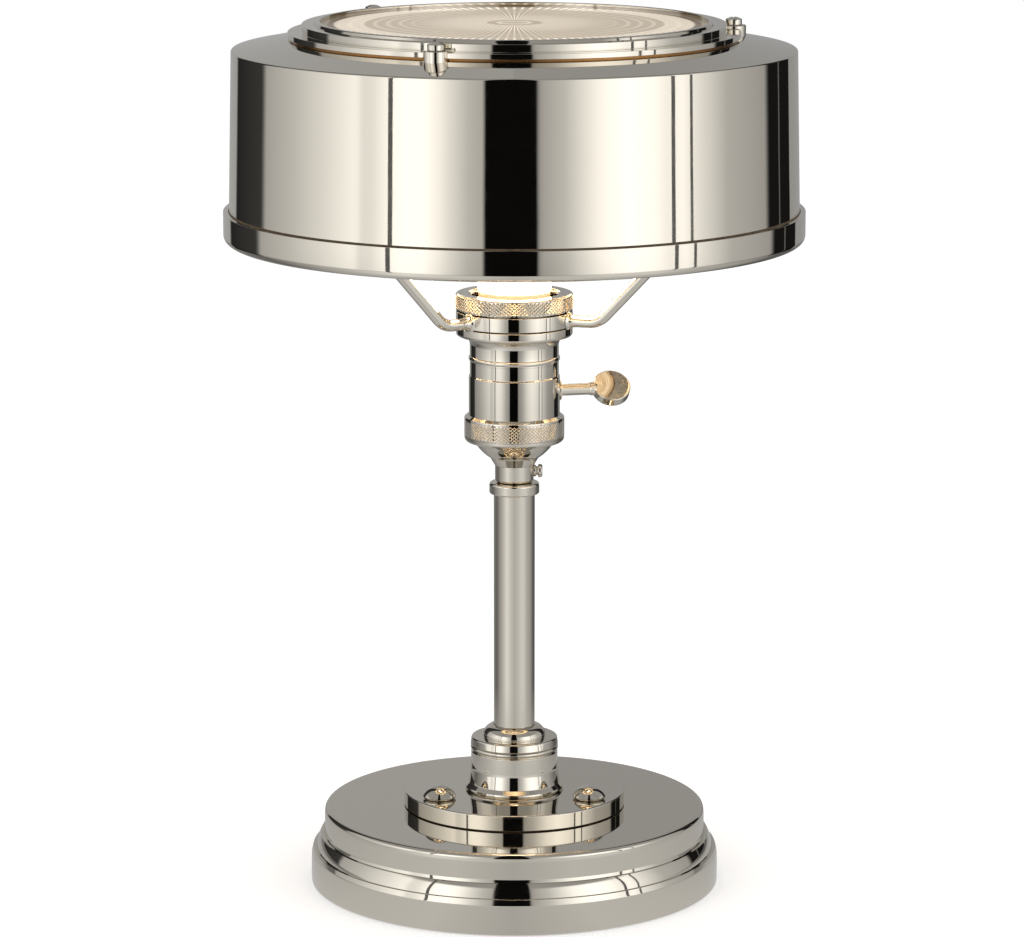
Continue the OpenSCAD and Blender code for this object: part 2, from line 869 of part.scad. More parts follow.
// Drum and roof are one spun sheet, told apart just below its rounded edge
module shade_drum() {
    color(nickel) turned([
        [drum_r - sheet_t, drum_z],
        [drum_r, drum_z],
        [wall_at(edge_z), edge_z],
        [wall_at(edge_z) - sheet_t, edge_z]
    ]);
}

module shade_roof() {
    color(nickel) difference() {
        turned([
            [wall_at(edge_z) - sheet_t, edge_z],
            [wall_at(edge_z), edge_z],
            [roof_edge_r, roof_edge_z, drum_edge],
            [roof_seat_r, roof_z],
            [roof_open_r, roof_z],
            [roof_open_r, roof_z - sheet_t],
            [roof_seat_r, roof_z - sheet_t],
            [roof_edge_r - sheet_t, roof_edge_z - sheet_t, drum_edge - sheet_t]
        ]);
        ear_holes(bezel_screw_r + fit, roof_z - sheet_t - over, roof_z + over);
    }
}

module shade_rim() {
    top = rim_band_z + rim_h;
    in_r = drum_r - sheet_t - rim_in;
    color(nickel) turned([
        [in_r, rim_band_z, eased],
        [rim_r, rim_band_z, rim_round],
        [rim_r, top, eased],
        [wall_at(top), top],
        [wall_at(drum_z), drum_z],
        [in_r, drum_z]
    ]);
}

// Lens
module ear_holes(r, z0, z1) {
    for (a = ear_azimuths) at_azimuth(a, ear_circle_r) translate([0, 0, z0]) cylinder(r = r, h = z1 - z0);
}

module bezel_seat() {
    color(brass) difference() {
        tube(roof_seat_r - seat_ring_in, roof_open_r + seat_ring_in, roof_z, bezel_z);
        ear_holes(bezel_screw_r + fit, roof_z - over, bezel_z + over);
    }
}

// Round ears that hang over the flange's edge and follow the roof
module bezel_ears() {
    hang = roof_z - ear_hang;
    seam_r = bezel_r - ear_seam;
    difference() {
        for (a = ear_azimuths) at_azimuth(a, ear_circle_r)
            translate([0, 0, hang]) cylinder(r = ear_r, h = ear_top - hang);
        turned([
            [0, hang - over],
            [roof_edge_r, hang - over],
            [roof_edge_r, roof_at(roof_edge_r)],
            [seam_r, roof_at(seam_r)],
            [seam_r, bezel_z + ear_seam],
            [0, bezel_z + ear_seam]
        ]);
        translate([0, 0, flange_top - over])
            cylinder(r = bezel_step_r - ear_seam, h = ear_top - flange_top + 2 * over);
    }
}

module lens_bezel() {
    color(nickel) difference() {
        union() {
            turned([
                [glass_r + fit, bezel_z],
                [bezel_r, bezel_z, broken],
                [bezel_r, flange_top, eased],
                [bezel_step_r, flange_top],
                [bezel_step_r, step_top, eased],
                [lens_open_r + lip_foot_w, step_top],
                [lens_open_r + lip_foot_w - lip_groove, step_top - lip_groove],
                [lens_open_r + lip_foot_w - lip_groove - lip_slope, lip_top - fit, lip_slope],
                [lens_open_r, lip_top, lip_edge],
                [lens_open_r, glass_top],
                [glass_r + fit, glass_top]
            ]);
            bezel_ears();
        }
        ear_holes(bezel_screw_r + fit, roof_z - ear_hang - over, ear_top + over);
    }
}

// The pressed glass, as rings of points that run from the middle of its underside over the crests and
// valleys of the flutes, round the rim and back to the middle of its face
module lens_glass() {
    around = 2 * flutes;
    flute_end_r = lens_open_r - flute_border;
    face_r = lens_open_r - face_in;
    // Radius, height, and how far every other point is raised into the glass
    rings = [
        [lens_disc_r - lens_disc_edge, glass_z + lens_disc_rise, 0],
        [lens_disc_r, glass_z, 0],
        [flute_start_r, glass_z, 0],
        [flute_end_r, glass_z, flute_depth],
        [flute_end_r + flute_end_w, glass_z, 0],
        [glass_r, glass_z, 0],
        [glass_r, glass_top, 0],
        [face_r, glass_top, 0],
        [face_r / 2, glass_top + glass_crown * 3 / 4, 0]
    ];
    last = len(rings) - 1;
    points = concat(
        [[0, 0, glass_z + lens_disc_rise], [0, 0, crown_z]],
        [for (q = rings, i = [0:around - 1])
            let (a = 360 * i / around) [q[0] * cos(a), q[0] * sin(a), q[1] + i % 2 * q[2]]]
    );
    function at(ring, i) = 2 + ring * around + i % around;
    color([0.95, 0.9, 0.78, 0.6]) polyhedron(points, concat(
        [for (i = [0:around - 1]) [0, at(0, i), at(0, i + 1)]],
        [for (k = [0:last - 1], i = [0:around - 1])
            each [
                [at(k, i), at(k + 1, i), at(k + 1, i + 1)],
                [at(k, i), at(k + 1, i + 1), at(k, i + 1)]
            ]],
        [for (i = [0:around - 1]) [1, at(last, i + 1), at(last, i)]]
    ));
}

module lens_retainer() {
    z = glass_z - retainer_t;
    color(brass) difference() {
        tube(glass_r + fit / 2, glass_r - retainer_w, z, glass_z);
        at_azimuth(180, glass_r - retainer_w - over) translate([0, -retainer_slit / 2, z - over])
            cube([retainer_w + 2 * over, retainer_slit, retainer_t + 2 * over]);
    }
}

module bezel_screws() {
    reach = ear_top - roof_z + sheet_t + bezel_nut_h + bezel_screw_tail;
    color(nickel) for (a = ear_azimuths) at_azimuth(a, ear_circle_r) translate([0, 0, ear_top])
        difference() {
            turned([
                [0, -reach],
                [bezel_screw_r, -reach],
                [bezel_screw_r, 0],
                [bezel_head_r, 0, broken],
                [bezel_head_r, bezel_head_h - bezel_head_dome, eased],
                [bezel_head_r * bezel_head_crown, bezel_head_h],
                [0, bezel_head_h]
            ]);
            slot(bezel_head_r, slot_w, bezel_slot_t, bezel_head_h);
        }
}

module bezel_nuts() {
    top = roof_at(ear_circle_r + bezel_nut_flats / sqrt(3)) - sheet_t - fit;
    color(steel) for (a = ear_azimuths) at_azimuth(a, ear_circle_r)
        translate([0, 0, top - bezel_nut_h]) difference() {
            hex(bezel_nut_flats, bezel_nut_h);
            translate([0, 0, -over]) cylinder(r = bezel_screw_r, h = bezel_nut_h + 2 * over);
        }
}

// Bulb
// Outline from the waist over the crown, drawn in by the thickness of the glass for its inside
function bulb_outline(t) =
    let (
        r = bulb_r - t,
        arc = bulb_waist_arc + t,
        lean = acos((bulb_neck_r + bulb_waist_arc) / (bulb_r + bulb_waist_arc))
    )
    concat(
        arc_points([bulb_neck_r + bulb_waist_arc, bulb_waist_z], arc, 180, 180 - lean, 5),
        arc_points([0, bulb_centre_z], r, 4 - lean, 90, 22)
    );

module bulb_glass() {
    inside = bulb_outline(bulb_t);
    foot = bulb_skirt_z - bulb_foot_h;
    color([1, 0.97, 0.88, 0.9]) rotate_extrude() polygon(concat(
        [
            [bulb_foot_r - bulb_foot_t, foot],
            [bulb_foot_r, foot],
            [bulb_foot_r, bulb_skirt_z],
            [lamp_cap_r + broken, bulb_skirt_z + rolled]
        ],
        bulb_outline(0),
        [for (i = [len(inside) - 1:-1:0]) inside[i]],
        [[bulb_foot_r - bulb_foot_t, bulb_skirt_z]]
    ));
}

module bulb_cap() {
    color("#c8c4bb") turned([
        [cap_foot_r, cap_foot_z],
        [lamp_cap_r, cap_foot_z + cap_cone_h, softened],
        [lamp_cap_r, bulb_skirt_z],
        [lamp_cap_r - cap_t, bulb_skirt_z],
        [lamp_cap_r - cap_t, cap_foot_z + cap_cone_h + cap_t],
        [cap_foot_r - cap_t, cap_foot_z + cap_t]
    ]);
}

module bulb_insulator() {
    color("#17181a") turned([
        [0, tip_z + tip_h],
        [insulator_r, tip_z + tip_h],
        [cap_foot_r, cap_foot_z],
        [cap_foot_r - cap_t, cap_foot_z + cap_t],
        [0, cap_foot_z + cap_t]
    ]);
}

module bulb_contact() {
    color("#a9a7a2") turned([
        [0, tip_z],
        [tip_r, tip_z, eased],
        [tip_r + cap_t, tip_z + tip_h],
        [0, tip_z + tip_h]
    ]);
}

felt_pad();
bottom_cover();
base_shell();
base_ballast();
cord_inlet_bush();
flange_plate();
flange_screws();
column_bell();
column_tube();
column_collar();
clamp_rod();
clamp_washer();
lock_washer();
clamp_nut();
holder_cap();
neck_set_screw();
holder_shell();
insulating_liner();
holder_body();
screw_contact();
centre_contact();
terminal_screws();
switch_bush();
switch_shaft();
switch_rotor();
switch_key();
hub_ring();
arm(arm_azimuths[0]);  // arm_left
arm(arm_azimuths[1]);  // arm_right
arm(arm_azimuths[2]);  // arm_back
shade_nut();
shade_drum();
shade_roof();
shade_rim();
bezel_seat();
lens_bezel();
lens_glass();
lens_retainer();
bezel_screws();
bezel_nuts();
bulb_glass();
bulb_cap();
bulb_insulator();
bulb_contact();
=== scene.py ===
import json
from math import acos, asin, atan2, ceil, cos, exp, hypot, pi, radians, sin, sqrt, tan

import bmesh
import bpy
from mathutils import Matrix, Vector


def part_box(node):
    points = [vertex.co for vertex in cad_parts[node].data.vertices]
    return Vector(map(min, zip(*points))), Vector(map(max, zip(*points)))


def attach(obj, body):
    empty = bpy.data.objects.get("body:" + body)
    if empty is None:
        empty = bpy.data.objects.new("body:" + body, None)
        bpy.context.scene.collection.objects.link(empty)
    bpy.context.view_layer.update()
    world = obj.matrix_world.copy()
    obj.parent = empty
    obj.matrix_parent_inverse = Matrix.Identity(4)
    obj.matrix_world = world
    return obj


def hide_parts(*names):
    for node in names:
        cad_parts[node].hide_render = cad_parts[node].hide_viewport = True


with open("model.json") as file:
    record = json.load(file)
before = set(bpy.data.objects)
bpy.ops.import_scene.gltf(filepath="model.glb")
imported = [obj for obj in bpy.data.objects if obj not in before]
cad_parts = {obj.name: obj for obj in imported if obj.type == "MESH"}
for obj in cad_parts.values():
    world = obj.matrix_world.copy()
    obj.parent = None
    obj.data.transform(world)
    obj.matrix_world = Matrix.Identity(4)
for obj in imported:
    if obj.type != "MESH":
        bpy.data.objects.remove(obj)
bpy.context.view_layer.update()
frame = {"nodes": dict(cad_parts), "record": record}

scene = bpy.context.scene
scene.view_settings.view_transform = "Standard"

# Camera, at the photograph's height and distance
eye = bpy.data.cameras.new("eye")
eye.lens = 157.59
eye.sensor_width = 36
eye.clip_start = 0.01
camera = bpy.data.objects.new("camera", eye)
camera.location = (-0.0009, -1.6961, 0.4999)
camera.rotation_euler = (pi / 2 - 0.1958, 0, 0)
scene.collection.objects.link(camera)
scene.camera = camera


# Sizes in millimetres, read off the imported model
def foot(node):
    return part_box(node)[0].z * 1000


def top(node):
    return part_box(node)[1].z * 1000


def reach(node):
    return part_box(node)[1].x * 1000


base_top = top("base_shell")
bell_foot = foot("column_bell")
bell_top = top("column_bell")
collar_foot = foot("column_collar") + 8
neck_foot = foot("holder_cap")
shell_foot = foot("holder_shell")
spout_top = top("holder_shell")
hub_foot = foot("hub_ring")
hub_top = top("hub_ring")
nut_foot = foot("shade_nut")
nut_top = top("shade_nut")
rim_foot = foot("shade_rim")
rim_top = top("shade_rim")
drum_foot = foot("shade_drum")
roof_top = top("shade_roof")
bezel_foot = foot("bezel_seat") + 0.7
bezel_top = top("lens_bezel")
foot_r = reach("base_shell")
disc_r = foot_r - 5.3
flange_r = reach("flange_plate")
bell_r = reach("column_bell")
column_r = reach("column_tube")
shell_r = 17.5
seat_r = reach("holder_shell")
hub_r = reach("hub_ring")
nut_r = reach("shade_nut")
rim_r = reach("shade_rim")
drum_r = reach("shade_drum")
roof_r = drum_r - 1.6
roof_edge = roof_top - 4
lens_r = 73.5
key_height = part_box("switch_shaft")[1].z * 1000 - 2.25
KEY_BACK = radians(12)


# Outlines are corners [radius, height] or [radius, height, rounding]
def outline(corners, step=6):
    points = []
    for i, corner in enumerate(corners):
        p = Vector(corner[:2])
        if len(corner) < 3:
            points.append(p)
            continue
        a = (Vector(corners[i - 1][:2]) - p).normalized()
        b = (Vector(corners[(i + 1) % len(corners)][:2]) - p).normalized()
        half = acos(max(-1, min(1, a.dot(b)))) / 2
        centre = p + (a + b).normalized() * corner[2] / sin(half)
        start = p + a * corner[2] / tan(half) - centre
        turn = (pi - 2 * half) * (1 if a.x * b.y - a.y * b.x < 0 else -1)
        count = max(2, ceil(abs(turn) / radians(step)))
        points += [centre + Matrix.Rotation(turn * k / count, 2) @ start for k in range(count + 1)]
    return points


def arc(centre, radius, first, last, count):
    angles = [radians(first + (last - first) * k / count) for k in range(count + 1)]
    return [[centre[0] + radius * cos(a), centre[1] + radius * sin(a)] for a in angles]


def spin(mesh, points, around, place=Matrix(), closed=True):
    """Turns an outline about the Z axis of a place; a point on the axis stays one vertex."""
    rings = []
    for r, z in points:
        if r < 1e-4:
            rings.append([mesh.verts.new(place @ Vector((0, 0, z)))] * around)
        else:
            rings.append([mesh.verts.new(place @ Vector((r * sin(2 * pi * k / around), -r * cos(2 * pi * k / around), z)))
                          for k in range(around)])
    faces = []
    for i in range(len(rings) - (0 if closed else 1)):
        here, there = rings[i], rings[(i + 1) % len(rings)]
        for k in range(around):
            corners = [here[k], here[(k + 1) % around], there[(k + 1) % around], there[k]]
            corners = list(dict.fromkeys(corners))
            if len(corners) > 2:
                faces.append(mesh.faces.new(corners))
    return faces


def knurl(mesh, radius, low, high, cells, rows, depth, flat):
    """A band of blunt four-sided points, as two crossing spiral cuts leave them; flat is the share left uncut."""
    def at(i, j, r):
        a = pi * i / cells
        return Vector((r * sin(a), -r * cos(a), low + (high - low) * j / (2 * rows)))
    grooves = {}

    def groove(i, j):
        key = (i % (2 * cells), j)
        if key not in grooves:
            grooves[key] = mesh.verts.new(at(key[0], j, radius - depth))
        return grooves[key]
    faces = []
    for j in range(1, 2 * rows):
        for i in range(2 * cells):
            if (i + j) % 2:
                corners = [groove(i + 1, j), groove(i, j + 1), groove(i - 1, j), groove(i, j - 1)]
                crest = [mesh.verts.new(at(i + flat * u, j + flat * v, radius)) for u, v in ((1, 0), (0, 1), (-1, 0), (0, -1))]
                faces.append(mesh.faces.new(crest))
                for k in range(4):
                    faces.append(mesh.faces.new([corners[k], corners[(k + 1) % 4], crest[(k + 1) % 4], crest[k]]))
    for j, inner in ((0, 1), (2 * rows, 2 * rows - 1)):
        for i in range(0, 2 * cells, 2):
            faces.append(mesh.faces.new([groove(i, j), groove(i + 2, j), groove(i + 1, inner)]))
    return faces


def piece(name, mesh, finishes, body, stands_for, sharp=30, flat=()):
    """Makes the object: millimetres to metres, smooth where the metal is rounded, crisp at its arrises."""
    flat = set(flat)
    for face in mesh.faces:
        face.smooth = face not in flat
    bmesh.ops.recalc_face_normals(mesh, faces=mesh.faces)
    bmesh.ops.scale(mesh, vec=(0.001, 0.001, 0.001), verts=mesh.verts)
    data = bpy.data.meshes.new(name)
    mesh.to_mesh(data)
    mesh.free()
    data.set_sharp_from_angle(angle=radians(sharp))
    for finish in finishes:
        data.materials.append(finish)
    made = bpy.data.objects.new(name, data)
    scene.collection.objects.link(made)
    even = made.modifiers.new("even_normals", "WEIGHTED_NORMAL")
    even.keep_sharp = True
    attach(made, body)
    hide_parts(*stands_for)
    return made


# Finishes
def linear(code):
    """A colour written as sRGB hex, as linear light."""
    parts = [int(code[i:i + 2], 16) / 255 for i in (1, 3, 5)]
    return tuple(c / 12.92 if c <= 0.04045 else ((c + 0.055) / 1.055) ** 2.4 for c in parts) + (1,)


def per(mm):
    """Scale of a pattern whose cells are that many millimetres wide."""
    return 1000 / mm


def add(tree, kind, links=None, **settings):
    """Adds a node; a setting is one of its own properties or a socket's value, a link is (node, output)."""
    made = tree.nodes.new(kind)
    for key, value in settings.items():
        if hasattr(made, key):
            setattr(made, key, value)
        else:
            socket = made.inputs[int(key[1:]) if key[0] == "_" and key[1:].isdigit() else key.replace("_", " ")]
            socket.default_value = value
    for key, (source, output) in (links or {}).items():
        tree.links.new(source.outputs[output], made.inputs[key])
    return made


def set_stops(ramp, stops):
    """Gives a colour ramp its stops, as (position, colour) pairs in rising order."""
    band = ramp.color_ramp
    band.elements.remove(band.elements[-1])
    for i, (position, colour) in enumerate(stops):
        stop = band.elements[0] if i == 0 else band.elements.new(position)
        stop.position = position
        stop.color = colour


def finish(name, colour, metallic, roughness, **more):
    """A material with its one shader; the patterns are linked to it afterwards."""
    material = bpy.data.materials.new(name)
    material.use_nodes = True
    tree = material.node_tree
    shader = tree.nodes["Principled BSDF"]
    shader.inputs["Base Color"].default_value = linear(colour)
    shader.inputs["Metallic"].default_value = metallic
    shader.inputs["Roughness"].default_value = roughness
    for key, value in more.items():
        shader.inputs[key.replace("_", " ")].default_value = value
    material.diffuse_color = linear(colour)
    return material, tree, shader


def plated(name, colour, roughness, wave_mm, wave_depth, scatter):
    """Plated and buffed metal: hand buffing leaves slow waves, and roughness drifts a little where it was wiped."""
    material, tree, shader = finish(name, colour, 1, roughness)
    place = add(tree, "ShaderNodeTexCoord")
    waves = add(tree, "ShaderNodeTexNoise", {"Vector": (place, "Object")}, Scale=per(wave_mm), Detail=2.0, Roughness=0.4)
    bend = add(tree, "ShaderNodeBump", {"Height": (waves, "Fac")}, Strength=1.0, Distance=wave_depth / 1000)
    tree.links.new(bend.outputs["Normal"], shader.inputs["Normal"])
    wiped = add(tree, "ShaderNodeTexNoise", {"Vector": (place, "Object")}, Scale=per(9), Detail=4.0, Roughness=0.6)
    drift = add(tree, "ShaderNodeMapRange", {"Value": (wiped, "Fac")}, From_Min=0.35, From_Max=0.7,
                To_Min=roughness - scatter, To_Max=roughness + scatter)
    tree.links.new(drift.outputs["Result"], shader.inputs["Roughness"])
    return material


# Polished nickel plate: a warm, nearly colourless mirror, a little wavy on spun sheet
nickel_spun = plated("nickel_plate_on_spun_sheet", "#DAD4C8", 0.035, 38, 0.05, 0.015)
# Polished nickel plate on turned solid brass: the same mirror, truer because the metal under it is thick
nickel_turned = plated("nickel_plate_on_turned_brass", "#DAD4C8", 0.045, 16, 0.006, 0.02)
# Nickel plate inside the shade, which the buffing wheel never reached: a soft sheen that spreads the bulb's light
nickel_inside = plated("nickel_plate_unbuffed", "#D6CFC2", 0.3, 14, 0.02, 0.06)
# Bare brass ring and contacts, dulled by handling: a browned gold in the gaps
brass_bare = plated("bare_turned_brass", "#9C7347", 0.3, 6, 0.01, 0.08)
# Zinc-plated steel hardware: cool grey, faintly blue, with a fine dull bloom
steel_zinc = plated("zinc_plated_steel", "#A9ADB2", 0.32, 3, 0.008, 0.08)
# Drawn aluminium of the lamp cap: soft pale grey
aluminium_drawn = plated("drawn_aluminium", "#C9C7C2", 0.3, 5, 0.006, 0.06)


def cast_iron():
    # Grey cast iron as it leaves the sand: dark, matt, pitted grain of about a millimetre
    material, tree, shader = finish("sand_cast_iron", "#4A4947", 1, 0.62)
    place = add(tree, "ShaderNodeTexCoord")
    grain = add(tree, "ShaderNodeTexNoise", {"Vector": (place, "Object")}, Scale=per(1.2), Detail=5.0, Roughness=0.7)
    tone = add(tree, "ShaderNodeMix", {"Factor": (grain, "Fac")}, data_type="RGBA")
    tone.inputs[6].default_value = linear("#3A3937")
    tone.inputs[7].default_value = linear("#5C5A56")
    pits = add(tree, "ShaderNodeBump", {"Height": (grain, "Fac")}, Strength=0.8, Distance=0.0003)
    tree.links.new(tone.outputs[2], shader.inputs["Base Color"])
    tree.links.new(pits.outputs["Normal"], shader.inputs["Normal"])
    return material


def wool_felt():
    # Black wool felt: no shine, tangled fibres a third of a millimetre wide that catch light at the edge
    material, tree, shader = finish("black_wool_felt", "#23221F", 0, 0.95, Sheen_Weight=0.4, Sheen_Roughness=0.6)
    place = add(tree, "ShaderNodeTexCoord")
    fibres = add(tree, "ShaderNodeTexNoise", {"Vector": (place, "Object")}, Scale=per(0.9), Detail=6.0, Roughness=0.8, Distortion=1.5)
    tone = add(tree, "ShaderNodeMix", {"Factor": (fibres, "Fac")}, data_type="RGBA")
    tone.inputs[6].default_value = linear("#171614")
    tone.inputs[7].default_value = linear("#37352F")
    nap = add(tree, "ShaderNodeBump", {"Height": (fibres, "Fac")}, Strength=0.9, Distance=0.0004)
    tree.links.new(tone.outputs[2], shader.inputs["Base Color"])
    tree.links.new(nap.outputs["Normal"], shader.inputs["Normal"])
    return material


def vulcanised_fibre():
    # Vulcanised fibre board, pressed and cut: brown with darker flecks and a dull calendered face
    material, tree, shader = finish("vulcanised_fibre", "#6E5A43", 0, 0.6)
    place = add(tree, "ShaderNodeTexCoord")
    flecks = add(tree, "ShaderNodeTexNoise", {"Vector": (place, "Object")}, Scale=per(2.5), Detail=5.0, Roughness=0.65)
    tone = add(tree, "ShaderNodeMix", {"Factor": (flecks, "Fac")}, data_type="RGBA")
    tone.inputs[6].default_value = linear("#57452F")
    tone.inputs[7].default_value = linear("#846D52")
    press = add(tree, "ShaderNodeBump", {"Height": (flecks, "Fac")}, Strength=0.4, Distance=0.0001)
    tree.links.new(tone.outputs[2], shader.inputs["Base Color"])
    tree.links.new(press.outputs["Normal"], shader.inputs["Normal"])
    return material


def moulded_phenolic():
    # Moulded phenolic: near-black brown with a wood-flour mottle and a low gloss from the mould
    material, tree, shader = finish("moulded_phenolic", "#35261E", 0, 0.38)
    place = add(tree, "ShaderNodeTexCoord")
    mottle = add(tree, "ShaderNodeTexNoise", {"Vector": (place, "Object")}, Scale=per(1.6), Detail=4.0, Roughness=0.6)
    tone = add(tree, "ShaderNodeMix", {"Factor": (mottle, "Fac")}, data_type="RGBA")
    tone.inputs[6].default_value = linear("#2A1D17")
    tone.inputs[7].default_value = linear("#463329")
    tree.links.new(tone.outputs[2], shader.inputs["Base Color"])
    return material


def black_vitrite():
    # Black glass that insulates the cap's end: hard gloss with the odd seed bubble
    material, tree, shader = finish("black_vitrite_glass", "#0E0E10", 0, 0.12)
    place = add(tree, "ShaderNodeTexCoord")
    seeds = add(tree, "ShaderNodeTexVoronoi", {"Vector": (place, "Object")}, Scale=per(1.5))
    dips = add(tree, "ShaderNodeBump", {"Height": (seeds, "Distance")}, Strength=0.3, Distance=0.0001)
    tree.links.new(dips.outputs["Normal"], shader.inputs["Normal"])
    return material


def pressed_glass():
    # Pressed soda-lime glass, lit from below: fire-polished and faintly warm; the bulb's glow through it, and the
    # bright lines its prisms gather, are painted on as emission
    material, tree, shader = finish("pressed_clear_glass", "#D4C5AC", 0, 0.22, Transmission_Weight=0.25, IOR=1.5, Emission_Strength=0.62)
    place = add(tree, "ShaderNodeTexCoord")
    ripple = add(tree, "ShaderNodeTexNoise", {"Vector": (place, "Object")}, Scale=per(7), Detail=3.0, Roughness=0.5)
    bend = add(tree, "ShaderNodeBump", {"Height": (ripple, "Fac")}, Strength=1.0, Distance=0.00002)
    tree.links.new(bend.outputs["Normal"], shader.inputs["Normal"])
    split = add(tree, "ShaderNodeSeparateXYZ", {0: (place, "Object")})
    angle = add(tree, "ShaderNodeMath", {0: (split, "X"), 1: (split, "Y")}, operation="ARCTAN2")
    across = add(tree, "ShaderNodeMath", {0: (split, "X"), 1: (split, "X")}, operation="MULTIPLY")
    across = add(tree, "ShaderNodeMath", {0: (split, "Y"), 1: (split, "Y"), 2: (across, 0)}, operation="MULTIPLY_ADD")
    radius = add(tree, "ShaderNodeMath", {0: (across, 0)}, operation="SQRT")
    out = add(tree, "ShaderNodeMath", {0: (radius, 0)}, operation="DIVIDE", _1=0.08)
    # Painted shade and reflection: on the upper face only, a brown ring on the plain border stands for the shade line
    # at the bezel's edge, and a lighter grey beyond it for a reflection
    upper = add(tree, "ShaderNodeMath", {0: (split, "Z")}, operation="GREATER_THAN", _1=0.3335)
    upper_out = add(tree, "ShaderNodeMath", {0: (out, 0), 1: (upper, 0)}, operation="MULTIPLY")
    border_painted_shade = add(tree, "ShaderNodeValToRGB", {0: (upper_out, 0)})
    set_stops(border_painted_shade, [(r / 80, linear(colour)) for r, colour in (
        (0, "#D4C5AC"), (68, "#D4C5AC"), (68.8, "#5E4527"), (70.6, "#5E4527"), (71.2, "#A79D8C"))])
    tree.links.new(border_painted_shade.outputs["Color"], shader.inputs["Base Color"])
    # Painted glow: how strongly flutes, rings, bars and the rim of the disc glow, by radius in millimetres
    painted_glow_zones = [(0, 0, 0, 0, 0.1), (4.9, 0, 0, 0, 0.1), (5.2, 0, 0, 0, 0.45), (6.6, 0, 0, 0, 0.4), (7, 0, 0, 0, 0), (10.2, 0, 0, 0, 0),
             (11, 1, 0, 0, 0), (24, 0.8, 0, 0, 0), (36, 0.35, 0, 0, 0), (42, 0.2, 0.18, 0, 0), (56, 0.15, 0.22, 0, 0),
             (59, 0.9, 0.2, 0, 0.1), (67.5, 1, 0, 0, 0.1), (68.6, 0, 0, 0, 0), (73, 0, 0, 0, 0)]
    ramp = add(tree, "ShaderNodeValToRGB", {0: (out, 0)})
    set_stops(ramp, [(r / 80, levels) for r, *levels in painted_glow_zones])
    zone = add(tree, "ShaderNodeSeparateColor", {0: (ramp, "Color")})
    painted_glow_level = add(tree, "ShaderNodeMath", {0: (ramp, "Alpha")}, operation="MULTIPLY", _1=1.0)
    for source, count, low, band in ((angle, 120, 0.1, 0), (radius, 2 * pi / 0.0048, 0.2, 1)):
        turns = add(tree, "ShaderNodeMath", {0: (source, 0)}, operation="MULTIPLY", _1=float(count))
        wave = add(tree, "ShaderNodeMath", {0: (turns, 0)}, operation="COSINE")
        line = add(tree, "ShaderNodeMapRange", {"Value": (wave, 0)}, From_Min=low, From_Max=0.95)
        painted_glow_level = add(tree, "ShaderNodeMath", {0: (line, 0), 1: (zone, band), 2: (painted_glow_level, 0)}, operation="MULTIPLY_ADD")
    glow = add(tree, "ShaderNodeMix", {"Factor": (painted_glow_level, 0)}, data_type="RGBA")
    glow.inputs[6].default_value = linear("#4E4230")
    glow.inputs[7].default_value = linear("#FFF6E8")
    tree.links.new(glow.outputs[2], shader.inputs["Emission Color"])
    return material


def painted_seam_shade():
    # Painted shade: a dry, slightly mottled dark brown that stands for the shadow in the undercuts above the rim and
    # under the rings
    material, tree, shader = finish("painted_shade_in_seam", "#4A3C2A", 0, 0.7)
    place = add(tree, "ShaderNodeTexCoord")
    shade_mottle = add(tree, "ShaderNodeTexNoise", {"Vector": (place, "Object")}, Scale=per(3), Detail=4.0, Roughness=0.7)
    tone = add(tree, "ShaderNodeMix", {"Factor": (shade_mottle, "Fac")}, data_type="RGBA")
    tone.inputs[6].default_value = linear("#2E2417")
    tone.inputs[7].default_value = linear("#6B583E")
    tree.links.new(tone.outputs[2], shader.inputs["Base Color"])
    return material


def lit_bulb():
    # Soft-white bulb, lit: the powder inside evens the glow, a little dimmer towards the neck
    material, tree, shader = finish("soft_white_bulb_lit", "#FFF6E6", 0, 0.35, Emission_Strength=9.0)
    place = add(tree, "ShaderNodeTexCoord")
    powder = add(tree, "ShaderNodeTexNoise", {"Vector": (place, "Object")}, Scale=per(12), Detail=3.0, Roughness=0.5)
    glow = add(tree, "ShaderNodeMix", {"Factor": (powder, "Fac")}, data_type="RGBA")
    glow.inputs[6].default_value = linear("#FFE7C8")
    glow.inputs[7].default_value = linear("#FFEDD4")
    # The last of the neck above the holder glows amber
    split = add(tree, "ShaderNodeSeparateXYZ", {0: (place, "Object")})
    neck = add(tree, "ShaderNodeMapRange", {"Value": (split, "Z")}, From_Min=0.233, From_Max=0.2337)
    shine = add(tree, "ShaderNodeMix", {"Factor": (neck, "Result")}, data_type="RGBA")
    shine.inputs[6].default_value = (0.03, 0.016, 0.002, 1)
    tree.links.new(glow.outputs[2], shine.inputs[7])
    tree.links.new(shine.outputs[2], shader.inputs["Emission Color"])
    return material


iron_cast = cast_iron()
felt_wool = wool_felt()
fibre_board = vulcanised_fibre()
phenolic = moulded_phenolic()
vitrite = black_vitrite()
lens_glass = pressed_glass()
seam = painted_seam_shade()
bulb_lit = lit_bulb()

by_slot = {"nickel": nickel_turned, "brass": brass_bare, "steel": steel_zinc, "iron": iron_cast, "felt": felt_wool,
           "fibre": fibre_board, "insulator": phenolic, "lens": lens_glass, "bulb": bulb_lit,
           "cap_metal": aluminium_drawn, "black_glass": vitrite}
for subpart in frame["record"]["subparts"]:
    node = frame["nodes"][subpart["node"]]
    node.data.materials.clear()
    node.data.materials.append(by_slot[subpart["material_slot"]])
    for face in node.data.polygons:
        face.material_index = 0


# Base
def turned_piece(name, body, corners, stands_for, metal=nickel_turned, around=288, points=None):
    mesh = bmesh.new()
    spin(mesh, points or outline(corners), around)
    return piece(name, mesh, [metal], body, stands_for)


